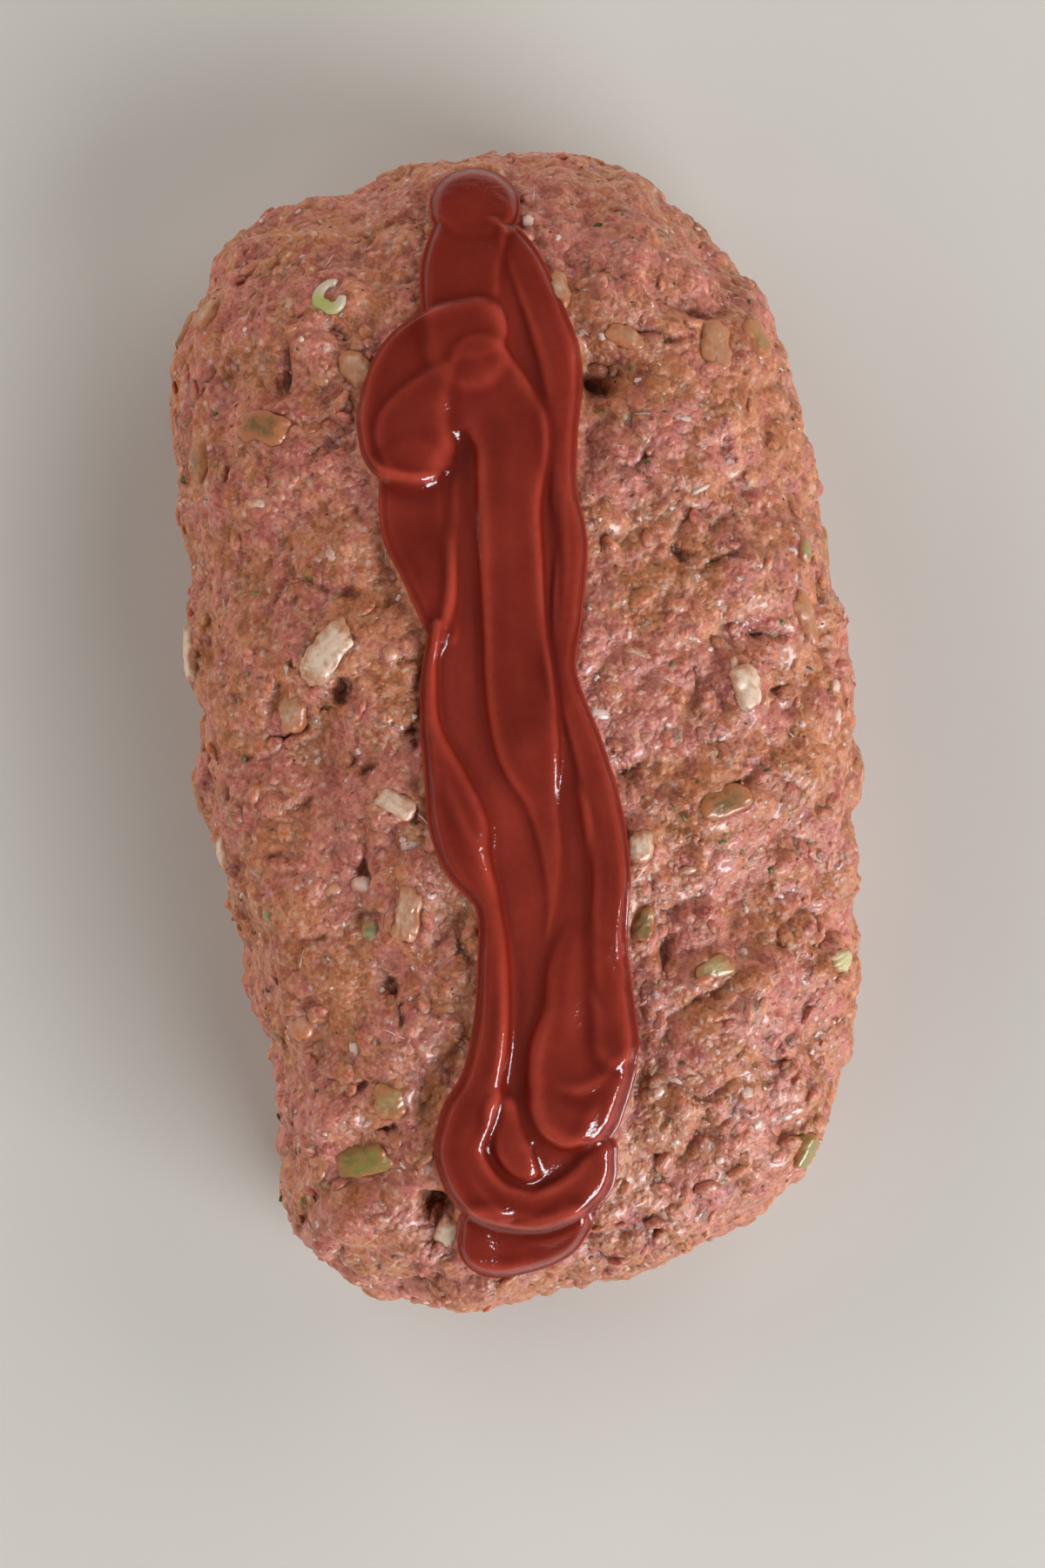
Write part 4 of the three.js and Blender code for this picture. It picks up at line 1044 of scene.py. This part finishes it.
# ---- materials ----
class Socket:
    """A shader output on which arithmetic adds Math nodes."""

    def __init__(self, finish, output):
        self.finish, self.output = finish, output

    def sum(self, operation, first, second):
        return self.finish.node("ShaderNodeMath", {"operation": operation}, {0: first, 1: second})

    def __add__(self, other):
        return self.sum("ADD", self, other)

    def __sub__(self, other):
        return self.sum("SUBTRACT", self, other)

    def __rsub__(self, other):
        return self.sum("SUBTRACT", other, self)

    def __mul__(self, other):
        return self.sum("MULTIPLY", self, other)

    __radd__, __rmul__ = __add__, __mul__


class Finish:
    """A material or world being made, with one method for any node and short names for common ones."""

    def __init__(self, home, place="Object"):
        home.use_nodes = True
        self.home, self.tree = home, home.node_tree
        self.tree.nodes.clear()
        self.place = self.node("ShaderNodeTexCoord", out=place)

    def node(self, kind, settings=None, sockets=None, out=0):
        """A node of a kind: its settings, then the values or links of its sockets."""
        node = self.tree.nodes.new(kind)
        for key, value in (settings or {}).items():
            setattr(node, key, value)
        for key, value in (sockets or {}).items():
            if isinstance(value, Socket):
                self.tree.links.new(value.output, node.inputs[key])
            else:
                node.inputs[key].default_value = value
        return Socket(self, node.outputs[out])

    def noise(self, size, detail, rough=0.55, warp=0.0, place=None, unit=MM, out=0):
        """Noise from 0 to 1 with blotches about size millimetres wide. unit is a millimetre in the
        measure that the place is in, and the Color output gives three such numbers."""
        return self.node("ShaderNodeTexNoise", None, {
            "Vector": place or self.place, "Scale": 1 / (size * unit), "Detail": detail,
            "Roughness": rough, "Distortion": warp,
        }, out)

    def grains(self, size, out, place):
        """Cell noise of cells size millimetres wide: the Distance to a cell's middle, or the
        cell's own random Color."""
        return self.node("ShaderNodeTexVoronoi", None, {"Vector": place, "Scale": 1 / (size * MM)}, out)

    def part(self, vector, axis):
        return self.node("ShaderNodeSeparateXYZ", None, {0: vector}, axis)

    def step(self, value, low, high):
        """0 below low, 1 above high, and a smooth step between; falls when low is the larger."""
        rising = low < high
        ends = (low, high, 0.0, 1.0) if rising else (high, low, 1.0, 0.0)
        return self.node("ShaderNodeMapRange", {"interpolation_type": "SMOOTHSTEP"}, {
            "Value": value, "From Min": ends[0], "From Max": ends[1], "To Min": ends[2], "To Max": ends[3],
        })

    def mix(self, factor, first, second):
        """Two colours mixed, the second one by the factor."""
        return self.node("ShaderNodeMix", {"data_type": "RGBA"}, {0: factor, 6: first, 7: second}, 2)

    def attribute(self, name):
        return self.node("ShaderNodeAttribute", {"attribute_name": name}, None, "Fac")

    def bump(self, height, depth, strength):
        """A bump whose height from 0 to 1 stands for depth millimetres."""
        sockets = {"Height": height, "Distance": depth * MM, "Strength": strength}
        return self.node("ShaderNodeBump", None, sockets)

    def done(self, **sockets):
        """Closes the material with the main shader, whose sockets are given by name."""
        named = {key.replace("_", " "): value for key, value in sockets.items()}
        shader = self.node("ShaderNodeBsdfPrincipled", None, named)
        self.closed("ShaderNodeOutputMaterial", shader)
        return self.home

    def closed(self, kind, shader):
        """Links a shader to an output node of a kind."""
        self.tree.links.new(shader.output, self.tree.nodes.new(kind).inputs[0])


def opaque(colour, shade=1.0):
    """A colour's first three numbers, darkened or lightened, and full cover."""
    return (*(min(c * shade, 1.0) for c in colour[:3]), 1.0)


# How far red, green and blue light go inside meat, as shares of each finish's own scale.
SCATTER_RADIUS = (1.0, 0.32, 0.22)


# Size in millimetres of the coloured grains, and how far noise moves their borders, in metres.
SPECK, GRAIN_WANDER = 1.5, 0.0014


def mince_finish(name, p, tinted=False):
    """Raw mince, moist and a little clear: orange tan and pink in broad patches, mauve and brown
    in smaller ones, soft grains of uneven brightness, and a few of pale fat. The solid kind is
    pinker on mounds and has painted shade, a dark red, in its cracks and crevices. The tinted kind
    is for loose lumps: each leans to a colour of its own by its tint."""
    f = Finish(bpy.data.materials.new(name))
    wave = f.node("ShaderNodeVectorMath", {"operation": "MULTIPLY_ADD"}, {
        0: f.noise(GRAIN, 2, 0.5, out="Color"), 1: (GRAIN_WANDER,) * 3, 2: f.place,
    })
    broad, middle, fine = f.noise(20, 2), f.noise(8, 3, 0.6, 0.6), f.noise(0.8, 3, 0.6)
    soft = f.noise(2.4, 3, 0.6, 0.5)
    cell = f.grains(SPECK, "Color", wave)
    own, other, third = (f.part(cell, axis) for axis in range(3))
    core = f.step(f.grains(SPECK, "Distance", wave), 0.62, 0.1)
    colour = f.mix(f.step(middle + 0.6 * broad, 0.7, 0.92), opaque(p.tan), opaque(p.pink))
    mauve = f.step(f.noise(5, 2, 0.5, 0.5), 0.55, 0.66)
    colour = f.mix(mauve * f.step(other, 0.1, 0.6) * 0.7, colour, opaque(p.purple))
    colour = f.mix(f.step(soft, 0.5, 0.3) * 0.4, colour, opaque(p.brown))
    colour = f.mix(f.step(own, 0.35, 0.1) * 0.45, colour, opaque(p.brown))
    if tinted:
        tint = f.attribute("tint")
        colour = f.mix(f.step(tint, 0.3, 0.0) * 0.45, colour, opaque(p.pink, 1.05))
        colour = f.mix(f.step(tint, 0.6, 0.85) * 0.45, colour, opaque(p.tan, 1.05))
    else:
        colour = f.mix(f.attribute("blush") * 0.55, colour, opaque(p.pink))
        # Painted shade in the cracks and crevices, by the hollow attribute.
        colour = f.mix(f.attribute("hollow") * 0.7, colour, opaque(p.hollow))
    pale = f.step(own + 0.5 * soft, 0.75, 1.05) * (0.3 + 0.6 * core)
    colour = f.mix(pale * 0.85, colour, opaque(p.pale))
    colour = f.mix(f.step(third, 0.9, 0.95) * core * 0.6, colour, opaque(p.fat))
    smear = f.step(f.noise(3.4, 2, 0.5, 0.7), 0.66, 0.76)
    colour = f.mix(smear * 0.35, colour, opaque(p.fat))
    colour = f.mix(f.step(fine, 0.5, 0.72) * 0.4, colour, opaque(p.pale))
    colour = f.mix(f.step(fine, 0.5, 0.3) * 0.5, colour, opaque(p.brown, 0.75))
    relief = 0.45 * fine + 0.25 * f.noise(0.45, 2, 0.6) + 0.45 * core
    return f.done(
        Base_Color=colour, Roughness=0.28 + 0.3 * f.noise(1.6, 2), Normal=f.bump(relief, 0.65, 0.8),
        Coat_Weight=f.step(f.noise(3, 2), 0.44, 0.66) * 0.5, Coat_Roughness=0.15,
        Subsurface_Weight=0.6, Subsurface_Radius=SCATTER_RADIUS, Subsurface_Scale=0.0026,
    )


def grain_finish(name, first, second, gloss, clear):
    """Loose beads and flecks: each its own tint between two colours, mottled and moist. clear is
    the share of light that goes in and is scattered."""
    f = Finish(bpy.data.materials.new(name))
    colour = f.mix(f.attribute("tint"), first, second)
    colour = f.mix(f.step(f.noise(0.9, 2), 0.45, 0.7) * 0.3, colour, opaque(first, 0.6))
    return f.done(
        Base_Color=colour, Roughness=gloss + 0.2 * f.noise(1.2, 1),
        Normal=f.bump(f.noise(0.7, 2), 0.2, 0.6),
        Subsurface_Weight=clear, Subsurface_Radius=SCATTER_RADIUS, Subsurface_Scale=0.0015,
    )


def sauce_finish(p):
    """Thick tomato sauce: deep glossy red, brighter and more orange where it is thin, a painted
    highlight of the same brighter orange on its crests and folded edges, with the finest pulp in it."""
    f = Finish(bpy.data.materials.new("tomato_sauce"))
    ridge, thick = f.attribute("ridge"), f.attribute("thick")
    # Painted highlight: the brighter orange on crests and folded edges, by the ridge attribute.
    colour = f.mix(f.step(ridge + 0.25 * f.noise(9, 2), -0.05, 0.6), opaque(p.deep), opaque(p.bright))
    colour = f.mix(f.step(thick, 2.0, 0.3) * 0.6, colour, opaque(p.bright, 0.95))
    colour = f.mix(f.step(f.noise(1.3, 3), 0.45, 0.7) * 0.12, colour, opaque(p.deep, 0.6))
    pulp = 0.5 * f.noise(3.5, 2) + 0.4 * f.noise(1.3, 2) + 0.25 * f.noise(0.6, 1)
    return f.done(
        Base_Color=colour, Roughness=0.07 + 0.09 * f.noise(6, 2), Normal=f.bump(pulp, 0.4, 0.5),
        Coat_Weight=0.15, Coat_Roughness=0.03, Specular_IOR_Level=0.32,
        Subsurface_Weight=0.2, Subsurface_Radius=(1.0, 0.1, 0.05), Subsurface_Scale=0.0016,
    )


def vegetable_finish(name, flesh, pale, line_size, mince):
    """Cut vegetable, wet and half clear: faint fibres line_size millimetres wide along the piece,
    clouds between its own colour and a paler one, and the mince's colour creeping in from the
    outline and in blots. A piece of a higher tint is paler and cleaner."""
    f = Finish(bpy.data.materials.new(name))
    along, across, rim, tint = (f.attribute(key) for key in ("along", "across", "rim", "tint"))
    grainy = f.node("ShaderNodeCombineXYZ", None, {0: along * 0.16, 1: across, 2: 0.0})
    fibre = f.noise(line_size, 3, 0.6, place=grainy, unit=1)
    cloud = f.noise(2.6, 3)
    colour = f.mix(f.step(0.3 * fibre + 0.7 * cloud + 0.6 * tint, 0.6, 1.05), flesh, pale)
    colour = f.mix(f.step(fibre, 0.48, 0.3) * 0.15, colour, opaque(flesh, 0.7))
    creep = f.step(rim + 1.2 * f.noise(1.8, 3) - 0.35 * tint, 0.8, 1.4)
    colour = f.mix(creep * 0.88, colour, mince)
    colour = f.mix(f.step(f.noise(1.6, 3) - 0.08 * tint, 0.46, 0.64) * 0.5, colour, mince)
    return f.done(
        Base_Color=colour, Roughness=0.26 + 0.25 * f.noise(2, 2),
        Normal=f.bump(0.35 * fibre + 0.6 * f.noise(1.1, 2), 0.3, 0.6),
        Coat_Weight=0.4, Coat_Roughness=0.12,
        Subsurface_Weight=0.5, Subsurface_Radius=(1.0, 0.65, 0.45), Subsurface_Scale=0.0022,
    )


def ring_finish(p):
    """The slice of spring onion, moist and half clear: green where its wall is thick, and paler
    towards its ends, with a soft, uneven border between them."""
    f = Finish(bpy.data.materials.new("spring_onion"))
    green = f.step(f.attribute("green") + 0.5 * f.noise(2, 2), 0.6, 1.4)
    return f.done(
        Base_Color=f.mix(green, opaque(p.spring_onion_pale), opaque(p.spring_onion)),
        Roughness=0.25 + 0.15 * f.noise(2, 2), Normal=f.bump(f.noise(1, 2), 0.2, 0.5),
        Subsurface_Weight=0.3, Subsurface_Radius=(1.0, 0.9, 0.5), Subsurface_Scale=0.002,
    )


def floor_finish(p):
    """The plain pale floor, with the faintest mottling."""
    f = Finish(bpy.data.materials.new("pale_floor"))
    colour = f.mix(f.noise(60, 2) * 0.3, opaque(p.floor), opaque(p.floor, 0.94))
    return f.done(Base_Color=colour, Roughness=0.6 + 0.1 * f.noise(20, 2), Specular_IOR_Level=0.3)


# ---- what a user may change ----
def colour_property(name, description, default):
    return FloatVectorProperty(
        name=name, description=description, default=default, subtype="COLOR", min=0, max=1,
    )


class MinceSettings(bpy.types.PropertyGroup):
    pink: colour_property("Pink", "Fresh red meat", (0.54, 0.178, 0.143))
    tan: colour_property("Tan", "Seasoned, crumbed meat", (0.5, 0.19, 0.082))
    brown: colour_property("Brown", "Darker grains", (0.29, 0.08, 0.036))
    purple: colour_property("Purple", "Lean grains in their own juice", (0.36, 0.088, 0.088))
    pale: colour_property("Pale", "Paler grains", (0.7, 0.35, 0.23))
    fat: colour_property("Fat", "Pale fat between the grains", (0.74, 0.52, 0.46))
    # Hollow is the colour of the painted shade in cracks and pits.
    hollow: colour_property("Hollow", "Cracks and pits", (0.13, 0.03, 0.018))


class ScatterSettings(bpy.types.PropertyGroup):
    lumps: IntProperty(name="Lumps", description="Rounded lumps of mince", default=1400, min=100)
    crumbs: IntProperty(name="Crumbs", description="Small crumbs of mince", default=2800, min=100)
    beads: IntProperty(name="Fat beads", description="Beads of pale fat", default=420, min=50)
    fibres: IntProperty(name="Fibres", description="Pale fibres", default=30, min=10)
    specks: IntProperty(name="Specks", description="Specks of pepper", default=260, min=10)
    herbs: IntProperty(name="Herbs", description="Flecks of chopped herb", default=60, min=10)


class SauceSettings(bpy.types.PropertyGroup):
    deep: colour_property("Deep", "The sauce where it is thick", (0.145, 0.0115, 0.0056))
    # Bright is the sauce's lighter colour where it is thin, and also its painted highlight on crests and
    # folded edges.
    bright: colour_property("Bright", "The sauce where it is thin or folds up", (0.4, 0.052, 0.03))


class VegetableSettings(bpy.types.PropertyGroup):
    onion: colour_property("Onion", "Clear cut onion", (0.45, 0.22, 0.125))
    onion_pale: colour_property("Pale onion", "Whiter cut onion", (0.74, 0.58, 0.45))
    celery: colour_property("Celery", "Clear cut celery", (0.33, 0.19, 0.075))
    celery_pale: colour_property("Pale celery", "Whiter cut celery", (0.56, 0.5, 0.27))
    pepper: colour_property("Green pepper", "Dull cut green pepper", (0.21, 0.115, 0.042))
    pepper_green: colour_property("Fresh pepper", "Brighter green pepper", (0.25, 0.22, 0.055))
    herb: colour_property("Herb", "Chopped herb and its stalks", (0.09, 0.09, 0.03))
    spring_onion: colour_property("Spring onion", "Green of the slice", (0.42, 0.43, 0.12))
    spring_onion_pale: colour_property("Pale spring onion", "White of the slice", (0.55, 0.47, 0.36))


class StageSettings(bpy.types.PropertyGroup):
    floor: colour_property("Floor", "Colour of the floor", (0.62, 0.6, 0.56))
    height: FloatProperty(
        name="Camera height", description="Height of the camera over the floor",
        default=0.421, min=0.1, unit="LENGTH",
    )


# ---- operators ----
GRAIN_SEED, FLECK_SEED, BIT_SEED = 41, 43, 47
# How far scattered things are tipped: the spread of what is added to their outward directions.
TILT = 0.3
# Darkest and lightest black pepper.
PEPPERCORN = (0.05, 0.022, 0.012, 1), (0.14, 0.06, 0.03, 1)


class MakeLoaf(bpy.types.Operator):
    """Makes the loaf of mince"""
    bl_idname = "meatloaf.make_loaf"
    bl_label = "Mince loaf"

    def execute(self, context):
        make_loaf(mince_finish("raw_mince", context.scene.meatloaf_mince))
        return {"FINISHED"}


class MakeGrains(bpy.types.Operator):
    """Scatters loose grains of mince and beads of fat over the loaf"""
    bl_idname = "meatloaf.make_grains"
    bl_label = "Grains and fat"

    def execute(self, context):
        p, counts = context.scene.meatloaf_mince, context.scene.meatloaf_scatter
        rng = np.random.default_rng(GRAIN_SEED)
        lump = mince_finish("mince_lumps", p, tinted=True)
        fat = grain_finish("pale_fat", opaque(p.fat, 0.85), opaque(p.fat, 1.15), 0.3, 0.5)
        # Name, shape, count, half sizes from and to, stretch along each axis, how deep they sit as
        # a share of their half thickness, from and to, and finish.
        kinds = [
            ("mince_lumps", ball(4, 8), counts.lumps, (1.2, 2.6), (1.2, 1.0, 0.55), (0.78, 1.02), lump),
            ("mince_crumbs", ball(2, 6), counts.crumbs, (0.45, 0.95), (1.2, 1.0, 0.7), (0.6, 0.95), lump),
            ("fat_beads", ball(2, 6), counts.beads, (0.35, 0.8), (1.3, 1.0, 0.7), (0.4, 0.85), fat),
            ("pale_fibres", ball(3, 4), counts.fibres, (0.14, 0.2), (12, 1.0, 1.0), (0, 0.6), fat),
        ]
        for name, shape, count, (small, large), longer, (deep, deeper), material in kinds:
            places, outward = spots_on_loaf(count, rng)
            frames = turned_frames(outward, rng, TILT)
            size = rng.uniform(small, large, (len(places), 1)) * rng.uniform(0.8, 1.2, (len(places), 3))
            size = size * longer
            places = places - outward * size[:, 2:] * rng.uniform(deep, deeper, (len(places), 1))
            scattered_piece(
                name, shape, places, frames, size, material, "mince",
                rng.random(len(places)), wobble=0.05, seed=7,
            )
        return {"FINISHED"}


class MakeFlecks(bpy.types.Operator):
    """Scatters specks of black pepper and chopped herb over the loaf"""
    bl_idname = "meatloaf.make_flecks"
    bl_label = "Pepper and herb"

    def execute(self, context):
        counts, p = context.scene.meatloaf_scatter, context.scene.meatloaf_vegetables
        rng = np.random.default_rng(FLECK_SEED)
        # Name, count, half sizes from and to, and the two colours.
        kinds = [
            ("pepper_specks", counts.specks, 0.2, 0.36, *PEPPERCORN),
            ("herb_flecks", counts.herbs, 0.45, 1.0, opaque(p.herb), opaque(p.herb, 2.2)),
        ]
        for name, number, small, large, first, second in kinds:
            places, outward = spots_on_loaf(number, rng)
            frames = turned_frames(outward, rng, TILT)
            size = rng.uniform(small, large, (len(places), 3)) * [1.2, 0.8, 0.5]
            scattered_piece(
                name, ball(2, 5), places, frames, size, grain_finish(name, first, second, 0.4, 0.0),
                "mince", rng.random(len(places)), wobble=0.2, seed=8,
            )
        return {"FINISHED"}


class MakeSauce(bpy.types.Operator):
    """Makes the tomato sauce"""
    bl_idname = "meatloaf.make_sauce"
    bl_label = "Tomato sauce"

    def execute(self, context):
        make_sauce(sauce_finish(context.scene.meatloaf_sauce))
        return {"FINISHED"}


class MakeVegetables(bpy.types.Operator):
    """Makes the diced onion, celery and green pepper"""
    bl_idname = "meatloaf.make_vegetables"
    bl_label = "Diced vegetables"

    def execute(self, context):
        p = context.scene.meatloaf_vegetables
        mince = opaque(context.scene.meatloaf_mince.tan, 0.9)
        kinds = {
            kind: (slot, vegetable_finish("cut_" + kind, opaque(flesh), opaque(pale), line_size, mince))
            for kind, slot, flesh, pale, line_size in (
                ("onion", "onion", p.onion, p.onion_pale, 0.9),
                ("celery", "celery", p.celery, p.celery_pale, 0.7),
                ("pepper", "green_pepper", p.pepper, p.pepper_green, 2),
            )
        }
        for number, node in enumerate(VEGETABLE_NODES):
            if node != RING_NODE:
                slot, material = kinds[node.split("_")[0]]
                tint, ribs = PALENESS.get(node, USUAL_PALENESS), RIBS.get(node, FAINT_RIBS)
                make_vegetable(node, slot, material, tint, ribs, number)
        return {"FINISHED"}


class MakeBits(bpy.types.Operator):
    """Lays the small bits of onion, fat, celery and pepper on the mince"""
    bl_idname = "meatloaf.make_bits"
    bl_label = "Small bits"

    def execute(self, context):
        p, mince = context.scene.meatloaf_vegetables, context.scene.meatloaf_mince
        rng = np.random.default_rng(BIT_SEED)
        tan = opaque(mince.tan)
        pale = vegetable_finish("pale_bit", opaque(mince.pale, 0.85), opaque(mince.fat), 0.9, tan)
        green = vegetable_finish("green_bit", opaque(p.herb, 1.2), opaque(p.celery_pale, 0.7), 1.2, tan)
        scatter_bits("pale_bits", PALE_BITS, pale, "onion", rng)
        scatter_bits("green_bits", GREEN_BITS, green, "celery", rng)
        return {"FINISHED"}


class MakeSpringOnion(bpy.types.Operator):
    """Makes the slice of spring onion"""
    bl_idname = "meatloaf.make_spring_onion"
    bl_label = "Spring onion"

    def execute(self, context):
        make_ring(RING_NODE, ring_finish(context.scene.meatloaf_vegetables))
        return {"FINISHED"}


LENS, FILM_SIZE = 47.0, 36.0
CAMERA_PLACE = (-0.001, -0.012)
CAMERA_TURN = np.radians(-5)
FLOOR_HALF = 1.5
# What the lights face.
MIDDLE = (0, 0, 0.03)
# Name, place, width and height, power, colour, and whether it is only seen mirrored in the gloss.
LIGHTS = [
    ("far_left", (-2.3, 1.8, 1.25), (2.9, 1.6), 52, (1, 0.95, 0.9), False),
    ("far_right", (2.3, 1.6, 1.25), (2.9, 1.6), 50, (1, 0.96, 0.92), False),
    ("near_right", (1.7, -1.9, 1.25), (2.2, 1.4), 92, (0.97, 0.98, 1), False),
    ("near_left", (-2.3, -1.1, 1.1), (2.5, 1.6), 24, (1, 0.98, 0.96), False),
    ("window", (0.72, -0.85, 0.6), (0.9, 0.28), 22, (0.93, 0.95, 1), True),
    ("far_window", (-0.15, 1.4, 0.22), (0.9, 0.04), 0.2, (1, 0.97, 0.95), True),
]
# The room's colour round the object and straight above it.
ROOM_ROUND, ROOM_ABOVE = (0.085, 0.083, 0.082, 1), (0.14, 0.138, 0.137, 1)


def soft_light(name, place, size, power, colour, mirrored):
    """A rectangular soft light that faces the middle. A mirrored one only makes glints, and the
    others only light."""
    lamp = bpy.data.lights.new(name, "AREA")
    lamp.shape, lamp.size, lamp.size_y = "RECTANGLE", *size
    lamp.energy, lamp.color = power, colour
    piece = bpy.data.objects.new(name, lamp)
    bpy.context.scene.collection.objects.link(piece)
    piece.location = place
    direction = Vector(MIDDLE) - Vector(place)
    piece.rotation_euler = direction.to_track_quat("-Z", "Y").to_euler()
    piece.visible_glossy, piece.visible_diffuse = mirrored, not mirrored


class MakeStage(bpy.types.Operator):
    """Makes the floor, the lights and the camera"""
    bl_idname = "meatloaf.make_stage"
    bl_label = "Stage"

    def execute(self, context):
        scene, p = context.scene, context.scene.meatloaf_stage
        camera = bpy.data.cameras.new("camera")
        camera.lens, camera.sensor_width = LENS, FILM_SIZE
        viewer = bpy.data.objects.new("camera", camera)
        scene.collection.objects.link(viewer)
        viewer.location = (*CAMERA_PLACE, p.height)
        viewer.rotation_euler = (0, 0, CAMERA_TURN)
        scene.camera = viewer
        scene.view_settings.view_transform = "Standard"

        mesh = bpy.data.meshes.new("floor")
        corners = [(x * FLOOR_HALF, y * FLOOR_HALF, 0) for x, y in ((-1, -1), (1, -1), (1, 1), (-1, 1))]
        mesh.from_pydata(corners, [], [(0, 1, 2, 3)])
        mesh.materials.append(floor_finish(p))
        floor = bpy.data.objects.new("floor", mesh)
        scene.collection.objects.link(floor)

        for light in LIGHTS:
            soft_light(*light)

        world = bpy.data.worlds.new("room")
        room = Finish(world, "Generated")
        up = room.step(room.part(room.place, 2), 0.6, 0.95)
        colour = room.mix(up, ROOM_ROUND, ROOM_ABOVE)
        room.closed("ShaderNodeOutputWorld", room.node("ShaderNodeBackground", None, {"Color": colour}))
        scene.world = world
        return {"FINISHED"}


MAKERS = (
    MakeLoaf, MakeGrains, MakeFlecks, MakeSauce, MakeVegetables, MakeBits, MakeSpringOnion, MakeStage,
)
SETTINGS = {
    "meatloaf_mince": MinceSettings, "meatloaf_scatter": ScatterSettings,
    "meatloaf_sauce": SauceSettings, "meatloaf_vegetables": VegetableSettings,
    "meatloaf_stage": StageSettings,
}


class MeatloafPanel(bpy.types.Panel):
    """Lists the settings and the makers"""
    bl_idname = "VIEW3D_PT_meatloaf"
    bl_label = "Raw meatloaf"
    bl_space_type = "VIEW_3D"
    bl_region_type = "UI"
    bl_category = "Meatloaf"

    def draw(self, context):
        for key, group in SETTINGS.items():
            box = self.layout.box()
            for name in group.__annotations__:
                box.prop(getattr(context.scene, key), name)
        for maker in MAKERS:
            self.layout.operator(maker.bl_idname)


def register():
    for cls in (*SETTINGS.values(), *MAKERS, MeatloafPanel):
        bpy.utils.register_class(cls)
    for key, group in SETTINGS.items():
        setattr(bpy.types.Scene, key, PointerProperty(type=group))


def unregister():
    for key in SETTINGS:
        delattr(bpy.types.Scene, key)
    for cls in reversed((*SETTINGS.values(), *MAKERS, MeatloafPanel)):
        bpy.utils.unregister_class(cls)


def main():
    register()
    for maker in MAKERS:
        group, name = maker.bl_idname.split(".")
        getattr(getattr(bpy.ops, group), name)()


if __name__ == "__main__":
    main()
